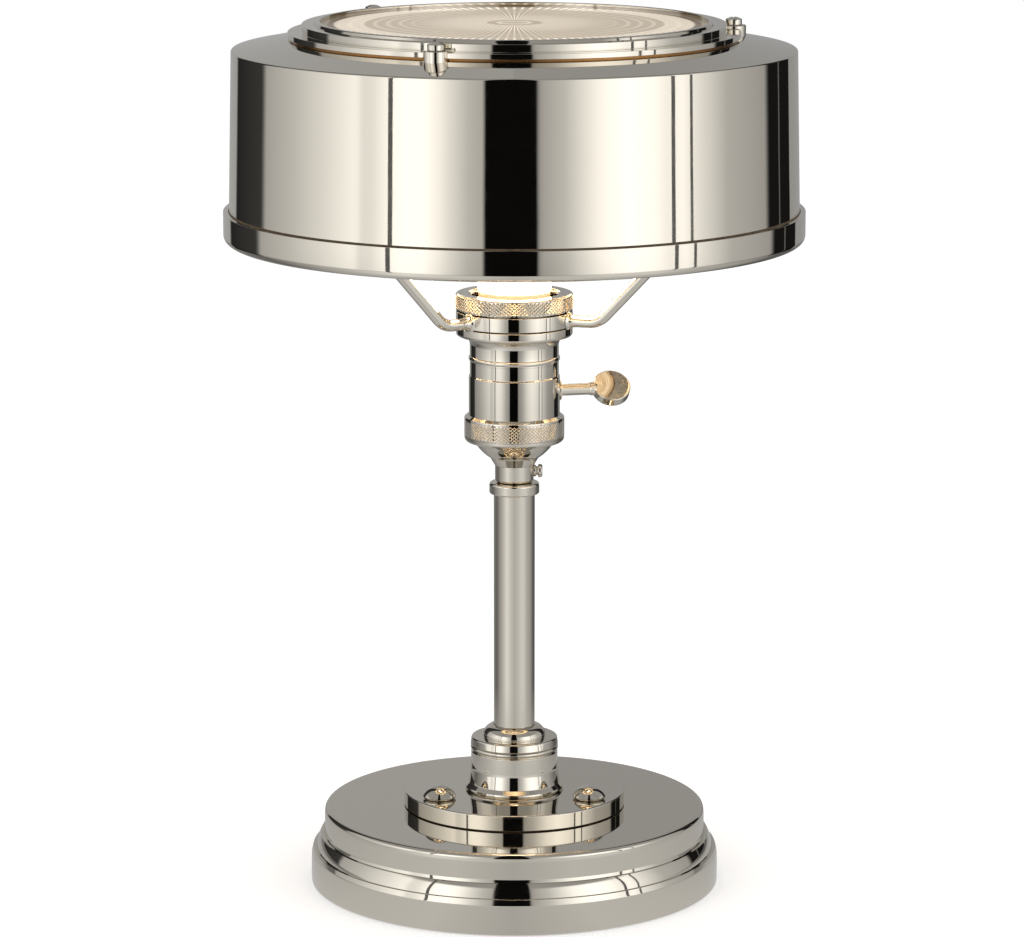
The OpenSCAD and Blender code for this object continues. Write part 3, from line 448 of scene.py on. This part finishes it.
def base():
    """A shallow drum over a wider foot, with a quarter-round between them."""
    disc_foot = base_top - 10.9
    ledge = disc_foot - 5.2
    quarter = arc([disc_r + 1.6 - 17.6 * cos(radians(28)), disc_foot - 17.6 * sin(radians(28))], 17.6, 10, 28, 8)
    points = outline([
        [5.1, base_top], [5.1, base_top - 2.2], [disc_r - 2.2, base_top - 2.2, 1], [disc_r - 2.2, disc_foot - 1.5],
        [foot_r - 2.2, 10], [foot_r - 2.2, 0.3], [foot_r, 0.3, 0.8], [foot_r, ledge - 6, 8], [foot_r - 0.12, ledge - 2.2, 5],
        [foot_r - 0.75, ledge, 0.15], [quarter[0][0] + 0.1, ledge]] + quarter
        + [[disc_r + 0.3, disc_foot], [disc_r, disc_foot + 1.2, 2], [disc_r, base_top - 3, 6], [disc_r - 0.25, base_top, 1.9]])
    return turned_piece("base", "stand", None, ["base_shell"], around=384, points=points)


base()

def seamed_ring(name, body, corners, stands_for, around, closed_by=(1, 3)):
    """A turned ring whose foot is undercut; the undercut's faces get painted shade, so it shows as a dark line."""
    mesh = bmesh.new()
    faces = spin(mesh, outline(corners), around)
    for face in faces[closed_by[0] * around:closed_by[1] * around]:
        face.material_index = 1
    return piece(name, mesh, [nickel_turned, seam], body, stands_for)


seamed_ring("flange", "stand", [
    [5.1, base_top], [flange_r - 1, base_top], [flange_r - 1, base_top + 0.45], [flange_r, base_top + 0.45, 0.1],
    [flange_r, bell_foot, 0.6], [5.1, bell_foot],
], ["flange_plate"], 320)


def flange_screws():
    mesh = bmesh.new()
    rise = top("flange_screws") - bell_foot
    crown = (6.4 ** 2 + (rise - 1.2) ** 2) / (2 * (rise - 1.2))
    head = arc([5.2, 1.2], 1.2, -90, 0, 8) + arc([0, rise - crown], crown, degrees_of(1.2 - rise + crown, crown), 90, 16)
    for angle in (60, 180, 300):
        where = Matrix.Rotation(radians(angle - 90), 4, "Z") @ Matrix.Translation((33.5, 0, bell_foot))
        spin(mesh, [[2.4, -6]] + [[2.4, -0.01]] + head, 64, where, closed=False)
    return piece("flange_screws_domed", mesh, [nickel_turned], "stand", ["flange_screws"])


def degrees_of(opposite, slope):
    return asin(opposite / slope) * 180 / pi


flange_screws()


# Column
def bell():
    """A lip, an ogee flare, a bead between two grooves, a tapered band, a ledge and a dome, as a form tool leaves them."""
    body = bell_r - 2.35
    dome = bell_top - 4.2
    ledge = dome - 0.3
    groove = ledge - 5.5
    band = body + 0.2
    bead = 0.8 / sin(radians(43))
    points = outline([[5.1, bell_foot], [bell_r - 0.7, bell_foot], [bell_r, bell_foot + 0.7, 0.4], [bell_r - 0.1, bell_foot + 1.4, 0.2],
                      [bell_r - 1.5, bell_foot + 2.9, 0.5], [body + 0.1, bell_foot + 8.4, 12], [body, groove - 0.5, 0.35], [body - 0.5, groove]], 3)
    points += arc([band - bead, groove + 1.05], bead, -43, 43, 14)
    points += outline([[body - 0.5, groove + 2.1], [band, groove + 2.35, 0.2], [band - 0.4, ledge, 0.8], [column_r + 4.2, ledge, 0.15],
                       [column_r + 4.2, dome]])[:-1]
    points += arc([column_r, dome], 4.2, 0, 85, 14)
    points += [[column_r + 0.05, bell_top - 0.3], [column_r + 0.05, bell_foot + 8], [5.1, bell_foot + 8]]
    return turned_piece("bell", "stand", None, ["column_bell"], around=256, points=points)


bell()
turned_piece("column", "stand", [
    [column_r, bell_foot + 8], [column_r, collar_foot], [column_r - 1.2, collar_foot], [column_r - 1.2, bell_foot + 8],
], ["column_tube"], around=192)
turned_piece("collar", "stand", [
    [5.1, collar_foot - 8], [column_r - 1.25, collar_foot - 8, 0.5], [column_r - 1.25, collar_foot], [9.65, collar_foot, 0.7],
    [9.65, neck_foot, 1.0], [5.1, neck_foot],
], ["column_collar"], around=192)


# Lamp holder
def holder_cap():
    cap_r = reach("holder_cap")
    dome = shell_r + 0.3
    centre = neck_foot + 24.8
    rim = neck_foot + 16
    top_rim = neck_foot + 26.4
    low = degrees_of(neck_foot + 9.8 - centre, dome)
    high = degrees_of(rim - 0.6 - centre, dome)
    in_low = degrees_of(neck_foot + 10.7 - centre, dome - 0.9)
    in_high = degrees_of(shell_foot - 0.5 - centre, dome - 0.9)
    points = [[5, neck_foot]]
    points += outline([[5, neck_foot], [7.45, neck_foot, 1.4], [7.45, neck_foot + 6.8, 0.2], [7.65, neck_foot + 6.8, 0.1],
                       [dome * cos(radians(low)) - 0.1, neck_foot + 9.8]])[1:]
    points += arc([0, centre], dome, low, high, 16)
    points += outline([[cap_r - 3, rim, 0.6], [cap_r, rim, 2], [cap_r, rim + 2.2], [cap_r - 0.3, rim + 2.3], [cap_r - 0.3, top_rim - 1.6],
                       [cap_r, top_rim - 1.5], [cap_r, top_rim - 0.7, 0.4], [shell_r + 0.4, top_rim + 0.3, 0.2],
                       [shell_r + 0.05, top_rim + 0.3]])
    points += [[shell_r + 0.05, shell_foot], [(dome - 0.9) * cos(radians(in_high)), shell_foot]]
    points += arc([0, centre], dome - 0.9, in_high, in_low, 10)
    points += [[5, neck_foot + 10.7]]
    mesh = bmesh.new()
    spin(mesh, points, 256)
    band = knurl(mesh, cap_r, rim + 2.3, top_rim - 1.6, 80, 5, 0.16, 0.6)
    return piece("holder_cap_knurled", mesh, [nickel_turned], "stand", ["holder_cap"], flat=band)


def holder_shell():
    upper = shell_r - 0.4
    step = neck_foot + 41.6
    bead = neck_foot + 48.6
    under = neck_foot + 57.4
    points = [[16.9, shell_foot], [shell_r, shell_foot]]
    points += outline([[shell_r, step - 2], [shell_r, step, 0.3], [upper, step + 0.5, 0.3], [upper, step + 3]])
    points += outline([[upper, bead - 1.9], [upper, bead - 0.95, 0.35], [upper + 0.05, bead - 0.9, 0.1]])[:-1]
    points += arc([upper - 0.65, bead], 1.15, -55, 55, 12)
    points += outline([[upper, bead + 2], [upper, under, 3.6], [seat_r, under, 1.2], [seat_r, hub_foot, 0.3], [19, hub_foot],
                       [19, spout_top, 0.3], [17.9, spout_top]])
    points += [[17.9, under + 0.4], [16.5, under - 2.4], [16.5, step + 0.2], [16.9, step - 0.2]]
    return turned_piece("holder_shell_turned", "stand", None, ["holder_shell"], nickel_spun, 256, points)


holder_cap()
holder_shell()
seamed_ring("hub", "shade", [
    [19.15, hub_foot + 0.02], [hub_r - 0.8, hub_foot + 0.02], [hub_r - 0.8, hub_foot + 0.45], [hub_r, hub_foot + 0.45, 0.12],
    [hub_r, hub_top, 0.2], [19.15, hub_top],
], ["hub_ring"], 256)


def shade_nut():
    mesh = bmesh.new()
    faces = spin(mesh, outline([
        [19.05, nut_foot], [nut_r - 1.2, nut_foot], [nut_r - 1.2, nut_foot + 0.4], [nut_r - 0.4, nut_foot + 0.4], [nut_r - 0.4, nut_top - 0.8],
        [nut_r - 0.05, nut_top - 0.7, 0.15], [nut_r - 0.3, nut_top, 0.9], [16.4, nut_top, 1.4], [16.4, spout_top + 0.25], [19.05, spout_top + 0.25],
    ]), 256)
    # The undercut at the nut's foot gets painted shade, a dark line
    for face in faces[256:3 * 256]:
        face.material_index = 1
    # The real knurl is half as coarse; this one is coarse enough to show
    band = knurl(mesh, nut_r, nut_foot + 0.4, nut_top - 0.8, 86, 4, 0.3, 0.3)
    return piece("shade_nut_knurled", mesh, [nickel_turned, seam], "shade_ring", ["shade_nut"], flat=band)


shade_nut()


def arms():
    """Bent rods: level out of the ring, up, and upright against the drum, with the braze run out round each rod where
    it leaves the ring.
    """
    rod, bend, climb_angle = 2.25, 9, radians(46.5)
    level = hub_foot + 2.9
    slope = 1.6 / (roof_edge - drum_foot)
    wall = drum_r - 1 - rod - slope * (roof_edge - drum_foot - 14) - 0.1
    knee = bend * tan(climb_angle / 2)
    ankle = bend * tan((pi / 2 - climb_angle) / 2)
    climb = (wall - 34.3) / cos(climb_angle) - knee - ankle
    for name, azimuth in (("arm_left", -51), ("arm_right", 69), ("arm_back", 189)):
        path = [(hub_r - 0.2 + k * 0.4, level) for k in range(12)] + [(34.3 - knee, level)]
        x, z = 34.3 - knee, level
        path += [(x + bend * sin(climb_angle * k / 9), z + bend * (1 - cos(climb_angle * k / 9))) for k in range(1, 10)]
        x, z = path[-1]
        x, z = x + climb * cos(climb_angle), z + climb * sin(climb_angle)
        path.append((x, z))
        rest = pi / 2 - climb_angle
        path += [(x + bend * (sin(climb_angle + rest * k / 9) - sin(climb_angle)),
                  z + bend * (cos(climb_angle) - cos(climb_angle + rest * k / 9))) for k in range(1, 10)]
        x, z = path[-1]
        path += [(x, z + (14 - ankle) * k / 4) for k in range(1, 5)]
        mesh = bmesh.new()
        rings, run = [], 0
        turn = Matrix.Rotation(radians(azimuth - 90), 4, "Z")
        for i, (x, z) in enumerate(path):
            before, after = path[max(0, i - 1)], path[min(len(path) - 1, i + 1)]
            if i:
                run += hypot(x - before[0], z - before[1])
            lean = atan2(after[1] - before[1], after[0] - before[0])
            radius = rod + 1.5 * exp(-run / 0.9) - (0.5 if i == len(path) - 1 else 0)
            rings.append([mesh.verts.new(turn @ Vector((x - radius * sin(lean) * cos(a), radius * sin(a), z + radius * cos(lean) * cos(a))))
                          for a in (2 * pi * k / 32 for k in range(32))])
        for here, there in zip(rings, rings[1:]):
            for k in range(32):
                mesh.faces.new([here[k], here[(k + 1) % 32], there[(k + 1) % 32], there[k]])
        mesh.faces.new(rings[0])
        mesh.faces.new(rings[-1])
        piece(name + "_brazed", mesh, [nickel_turned], "shade", [name], sharp=50)


arms()


# Switch key: a round rod that ends in a tilted flat disc
def key():
    about = Matrix.Rotation(KEY_BACK, 4, "Z")
    centre = 38.2
    mesh = bmesh.new()
    along = about @ Matrix.Translation((0, 0, key_height)) @ Matrix.Rotation(pi / 2, 4, "Y")
    spin(mesh, outline([[0, 6.5], [2.25, 6.5, 0.2], [2.25, 28.6], [2.25, 29.4, 0.2], [2.55, 29.9, 0.2], [2.55, 31.6, 0.2], [2.0, 32.6], [0, 32.6]]), 64, along, closed=False)
    piece("key_rod", mesh, [nickel_turned], "switch", ["switch_shaft"])
    mesh = bmesh.new()
    face = about @ Matrix.Translation((centre, 0, key_height)) @ Matrix.Rotation(radians(42), 4, "X")
    crown = arc([0, 2.45 - 46], 46, 82.2, 90, 8)
    spin(mesh, outline([[0, -2.45], [7.3, -2.45, 1.0], [7.3, 1.9, 0.5], crown[0]]) + crown[1:-1] + [[0, 2.45]], 128, face, closed=False)
    piece("key_disc", mesh, [nickel_turned], "switch", ["switch_key"])


key()


def set_screw():
    mesh = bmesh.new()
    across = Matrix.Translation((0, 0, neck_foot + 4.3)) @ Matrix.Rotation(pi / 2, 4, "Y")
    spin(mesh, outline([[0, 5], [1.5, 5], [1.5, 7.2], [2.3, 7.4, 0.3], [2.3, 8.2, 0.3], [1.7, 8.5, 0.2], [1.7, 9, 0.2],
                        [2.6, 9.3, 0.4], [2.6, 10.3, 0.4], [2.1, 10.85, 0.3], [0, 10.85]]), 48, across, closed=False)
    return piece("neck_screw", mesh, [nickel_turned], "stand", ["neck_set_screw"])


set_screw()


# Shade
def wall_at(z):
    return drum_r - 1.6 * (z - drum_foot) / (roof_edge - drum_foot)


def roof_at(r):
    return roof_top - max(0, r - 85) * 4 / (roof_r - 85)


def shade():
    outer = outline([[drum_r, drum_foot], [drum_r, drum_foot + 0.01], [roof_r, roof_edge, 0.8], [86, roof_top, 8], [77.7, roof_top]], 4)
    inner = outline([[77.7, roof_top - 1], [85, roof_top - 1], [roof_r - 1, roof_edge - 1, 2], [drum_r - 1, drum_foot + 0.01], [drum_r - 1, drum_foot]], 6)
    mesh = bmesh.new()
    faces = spin(mesh, outer + inner, 432)
    for face in faces[432 * (len(outer) - 1):]:
        face.material_index = 1
    piece("shade_spun", mesh, [nickel_spun, nickel_inside], "shade", ["shade_drum", "shade_roof"])
    mesh = bmesh.new()
    corners = outline([[rim_r - 3.1, rim_foot], [rim_r - 0.04, rim_foot, 2.8], [rim_r - 0.04, rim_top - 0.5, 0.15],
                       [wall_at(rim_top) + 0.35, rim_top - 0.5]])
    faces = spin(mesh, corners + [[wall_at(rim_top), rim_top], [wall_at(drum_foot), drum_foot], [drum_r - 1.3, drum_foot],
                                  [drum_r - 1.3, rim_foot]], 432)
    # The strip where the rim band meets the drum gets painted shade, a dark line
    for face in faces[432 * (len(corners) - 1):432 * len(corners)]:
        face.material_index = 2
    for face in faces[432 * len(corners):]:
        face.material_index = 1
    piece("shade_rim_band", mesh, [nickel_spun, nickel_inside, seam], "shade", ["shade_rim"])


shade()


# Lens and its bezel
def bezel():
    flange = bezel_foot + 2
    step = flange + 2.9
    mesh = bmesh.new()
    spin(mesh, outline([
        [76.9, bezel_foot], [85.8, bezel_foot, 0.15], [85.8, flange, 0.15], [80.5, flange, 0.1], [80.5, step, 0.15],
        [lens_r + 2.4, step, 0.05], [lens_r + 2.1, step - 0.3, 0.05], [lens_r + 1.6, bezel_top - 0.1, 0.5], [lens_r, bezel_top, 0.4],
        [lens_r, bezel_top - 1.6], [76.9, bezel_top - 1.6],
    ]), 384)
    ear_top = flange + 0.8
    for azimuth in (-19.5, 100.5, 220.5):
        where = Matrix.Rotation(radians(azimuth - 90), 4, "Z") @ Matrix.Translation((85.2, 0, 0))
        spin(mesh, outline([[0, roof_top - 0.95], [4.7, roof_top - 0.95], [4.7, ear_top, 0.5], [0, ear_top]]), 64, where, closed=False)
    return piece("bezel_ring", mesh, [nickel_turned], "shade", ["lens_bezel"])


def lens():
    """The pattern is pressed into the underside: a plain centre, tapering flutes and rings."""
    under = foot("lens_glass")
    over = bezel_top - 1.6
    flutes = 120
    steps = flutes * 4

    def relief(r, a):
        turn = flutes * a / (2 * pi) % 1
        prism = 1 - abs(2 * turn - 1)
        depth = 0.65 * max(0, r - 10.4) / 57.6 if r <= 68 else max(0, 0.65 * (68.6 - r) / 0.6)
        rings = max(0, min(1, (r - 41) / 2)) * max(0, min(1, (64.5 - r) / 1))
        centre = 0.4 if r < 5.4 else 0
        return depth * prism + 0.3 * rings * (0.5 + 0.5 * cos(2 * pi * (r - 43.2) / 4.8)) + centre

    radii = [0, 5.3, 5.6, 10.4] + [11.2 + 1.5 * k for k in range(20)] + [41 + 0.6 * k for k in range(46)] + [68.6, 73, 76.8]
    below = [[r, None] for r in radii]
    mesh = bmesh.new()
    rings = []
    for r, _ in below:
        if r == 0:
            rings.append([mesh.verts.new((0, 0, under + 0.4))] * steps)
        else:
            rings.append([mesh.verts.new((r * sin(2 * pi * k / steps), -r * cos(2 * pi * k / steps), under + relief(r, 2 * pi * k / steps)))
                          for k in range(steps)])
    crown = top("lens_glass") - over
    for r in [76.8, 74.5, 73, 60, 45, 30, 15]:
        z = over + crown * (1 - (r / 73) ** 2) if r < 73 else over
        rings.append([mesh.verts.new((r * sin(2 * pi * k / steps), -r * cos(2 * pi * k / steps), z)) for k in range(steps)])
    rings.append([mesh.verts.new((0, 0, over + crown))] * steps)
    for here, there in zip(rings, rings[1:]):
        for k in range(steps):
            corners = list(dict.fromkeys([here[k], here[(k + 1) % steps], there[(k + 1) % steps], there[k]]))
            if len(corners) > 2:
                mesh.faces.new(corners)
    return piece("lens_pressed", mesh, [lens_glass], "shade", ["lens_glass"], sharp=50)


bezel()
lens()


# Bulb
def bulb():
    skirt = foot("bulb_cap") - 3 + 25.4
    neck = 13.1 + 1.1
    waist = skirt + 7
    round_r = reach("bulb_glass")
    hollow = round_r + 5
    centre = waist + sqrt((round_r + hollow) ** 2 - (neck + hollow) ** 2)
    lean = acos((neck + hollow) / (round_r + hollow)) * 180 / pi
    points = [[0, skirt - 3.9], [12.4, skirt - 3.9], [12.5, skirt], [13.4, skirt + 1]]
    points += arc([neck + hollow, waist], hollow, 180, 180 - lean, 12)
    points += arc([0, centre], round_r, -lean + 4, 90, 36)
    mesh = bmesh.new()
    spin(mesh, points, 96, closed=False)
    return piece("bulb_envelope", mesh, [bulb_lit], "bulb", ["bulb_glass"], sharp=60)


bulb()


# Studio: a pale floor, two soft lamps, and a tent whose panels the metal mirrors
def share(degrees):
    """A direction, in degrees from the front towards the right, as a share of the turn that begins at the back."""
    return (degrees + 180) / 360


def greys(levels, scale=1):
    return [(share(degrees), (level * scale,) * 3 + (1,)) for degrees, level in levels]


def studio():
    mesh = bmesh.new()
    spin(mesh, [[0, -0.02], [3000, -0.02]], 64, closed=False)
    bmesh.ops.scale(mesh, vec=(0.001, 0.001, 0.001), verts=mesh.verts)
    data = bpy.data.meshes.new("floor")
    mesh.to_mesh(data)
    mesh.free()
    floor = bpy.data.objects.new("floor", data)
    scene.collection.objects.link(floor)
    paper = bpy.data.materials.new("white_paper_sweep")
    paper.use_nodes = True
    tree = paper.node_tree
    tree.nodes.remove(tree.nodes["Principled BSDF"])
    ray = add(tree, "ShaderNodeLightPath")
    place = add(tree, "ShaderNodeTexCoord")
    split = add(tree, "ShaderNodeSeparateXYZ", {0: (place, "Object")})
    # What mirrors the table sees it only this far out, as painted light: an emission that is brighter where the tent's
    # panels would light it
    front = add(tree, "ShaderNodeMath", {0: (split, "Y")}, operation="MULTIPLY", _1=-1.0)
    angle = add(tree, "ShaderNodeMath", {0: (split, "X"), 1: (front, 0)}, operation="ARCTAN2")
    turn = add(tree, "ShaderNodeMapRange", {"Value": (angle, 0)}, From_Min=-pi, From_Max=pi)
    away = add(tree, "ShaderNodeVectorMath", {0: (place, "Object")}, operation="LENGTH")
    off = add(tree, "ShaderNodeMath", {0: (away, "Value")}, operation="GREATER_THAN", _1=0.87)
    cut = add(tree, "ShaderNodeMath", {0: (off, 0), 1: (ray, "Is Glossy Ray")}, operation="MULTIPLY")
    near = add(tree, "ShaderNodeValToRGB", {0: (turn, "Result")})
    set_stops(near, greys([(-180, 0.42), (-130, 0.44), (-90, 0.54), (-60, 0.63), (-27, 0.67), (0, 0.53), (27, 0.67),
                           (60, 0.63), (90, 0.54), (130, 0.44)]))
    far = add(tree, "ShaderNodeValToRGB", {0: (turn, "Result")})
    set_stops(far, greys([(-180, 0.3), (-114, 0.16), (-88, 0.41), (-67, 0.63), (-42, 1), (-20, 0.76), (0, 0.59), (20, 0.69),
                          (37, 0.83), (55, 0.83), (75, 0.57), (98, 0.45), (128, 0.13)]))
    spread = add(tree, "ShaderNodeMapRange", {"Value": (away, "Value")}, From_Min=0.18, From_Max=0.32)
    tone = add(tree, "ShaderNodeMix", {"Factor": (spread, "Result")}, data_type="RGBA")
    tree.links.new(near.outputs[0], tone.inputs[6])
    tree.links.new(far.outputs[0], tone.inputs[7])
    mirrored = add(tree, "ShaderNodeEmission", {"Color": (tone, 2)}, Strength=1.0)
    white = add(tree, "ShaderNodeBsdfDiffuse", Color=linear("#F4F4F4"))
    sheet = add(tree, "ShaderNodeMixShader", {0: (ray, "Is Glossy Ray"), 1: (white, 0), 2: (mirrored, 0)})
    lift = add(tree, "ShaderNodeEmission", {"Strength": (ray, "Is Camera Ray")}, Color=(0.3, 0.3, 0.3, 1))
    shown = add(tree, "ShaderNodeAddShader", {0: (sheet, 0), 1: (lift, 0)})
    clear = add(tree, "ShaderNodeBsdfTransparent")
    result = add(tree, "ShaderNodeMixShader", {0: (cut, 0), 1: (shown, 0), 2: (clear, 0)})
    tree.links.new(result.outputs[0], tree.nodes["Material Output"].inputs["Surface"])
    data.materials.append(paper)

    for name, where, size, watts in (("lamp_left", (-1.1, -0.9, 1.3), 1.0, 3.0), ("lamp_right", (1.2, -0.6, 1.2), 1.0, 3.0)):
        glow = bpy.data.lights.new(name, "AREA")
        glow.size = size
        glow.energy = watts
        lamp = bpy.data.objects.new(name, glow)
        lamp.location = where
        lamp.rotation_euler = (Vector((0, 0, 0.15)) - Vector(where)).to_track_quat("-Z", "Y").to_euler()
        lamp.visible_glossy = False
        scene.collection.objects.link(lamp)

    # Brightness of the tent by direction
    panels = [(-180, 0.42), (-151, 0.42), (-150, 0.02), (-121.5, 0.05), (-118, 0.5), (-99, 0.7), (-82, 0.99), (-67, 1.32),
              (-65, 1.3), (-62.5, 1.06), (-58, 1.1), (-51, 1.43), (-44, 1.65), (-36, 1.6), (-30, 1.33), (-25, 1.02), (-18, 0.68),
              (-12, 0.56), (-11.7, 0.004), (9.5, 0.004), (9.9, 0.48), (20, 0.72), (34, 1.4), (46, 1.7), (58, 1.5), (63, 1.3),
              (70, 1.45), (74, 1.25), (81, 1.0), (94, 0.6), (120, 0.43), (123, 0.01)]
    world = bpy.data.worlds.new("studio_tent")
    scene.world = world
    world.use_nodes = True
    tree = world.node_tree
    tree.nodes.clear()
    ray = add(tree, "ShaderNodeLightPath")
    place = add(tree, "ShaderNodeTexCoord")
    split = add(tree, "ShaderNodeSeparateXYZ", {0: (place, "Generated")})
    front = add(tree, "ShaderNodeMath", {0: (split, "Y")}, operation="MULTIPLY", _1=-1.0)
    angle = add(tree, "ShaderNodeMath", {0: (split, "X"), 1: (front, 0)}, operation="ARCTAN2")
    turn = add(tree, "ShaderNodeMapRange", {"Value": (angle, 0)}, From_Min=-pi, From_Max=pi)
    ramp = add(tree, "ShaderNodeValToRGB", {0: (turn, "Result")})
    set_stops(ramp, greys(panels, 0.5))
    # Back right: the last dark panel ends and the grey backdrop begins
    back = add(tree, "ShaderNodeMath", {0: (turn, "Result")}, operation="GREATER_THAN", _1=share(146))
    backdrop = add(tree, "ShaderNodeMix", {"Factor": (back, 0)}, data_type="RGBA")
    backdrop.inputs[7].default_value = (0.18, 0.18, 0.18, 1)
    tree.links.new(ramp.outputs[0], backdrop.inputs[6])
    # Narrow slits where two panels meet
    for middle, half in ((-50.2, 1), (65.9, 0.9), (74.8, 0.7), (133.3, 0.6)):
        slit = add(tree, "ShaderNodeMath", {0: (turn, "Result")}, operation="COMPARE", _1=share(middle), _2=half / 360)
        slotted = add(tree, "ShaderNodeMix", {"Factor": (slit, 0)}, data_type="RGBA")
        slotted.inputs[7].default_value = (0.07, 0.07, 0.07, 1)
        tree.links.new(backdrop.outputs[2], slotted.inputs[6])
        backdrop = slotted
    # The panels hang from above and dim towards their lower edge, which the lamp holder mirrors
    hem = add(tree, "ShaderNodeMapRange", {"Value": (split, "Z")}, From_Min=-0.182, From_Max=-0.148, To_Min=0.65, To_Max=1.0)
    hung = add(tree, "ShaderNodeVectorMath", {0: (backdrop, 2), "Scale": (hem, "Result")}, operation="SCALE")
    # Above the panels hangs a grey ceiling, into which their gaps run on
    ceiling = add(tree, "ShaderNodeVectorMath", {0: (hung, 0)}, operation="MINIMUM", _1=(0.19, 0.19, 0.19))
    high = add(tree, "ShaderNodeMapRange", {"Value": (split, "Z")}, From_Min=0.44, From_Max=0.5)
    tent = add(tree, "ShaderNodeMix", {"Factor": (high, "Result")}, data_type="RGBA")
    tree.links.new(hung.outputs[0], tent.inputs[6])
    tree.links.new(ceiling.outputs[0], tent.inputs[7])
    mirrored = add(tree, "ShaderNodeBackground", Strength=2.0)
    tree.links.new(tent.outputs[2], mirrored.inputs["Color"])
    plain = add(tree, "ShaderNodeBackground", Color=(0.78, 0.78, 0.78, 1))
    white = add(tree, "ShaderNodeBackground", Color=(1, 1, 1, 1))
    seen = add(tree, "ShaderNodeMath", {0: (ray, "Is Camera Ray"), 1: (ray, "Is Transmission Ray")}, operation="MAXIMUM")
    first = add(tree, "ShaderNodeMixShader", {0: (seen, 0), 1: (plain, 0), 2: (white, 0)})
    second = add(tree, "ShaderNodeMixShader", {0: (ray, "Is Glossy Ray"), 1: (first, 0), 2: (mirrored, 0)})
    out = add(tree, "ShaderNodeOutputWorld")
    tree.links.new(second.outputs[0], out.inputs["Surface"])


studio()
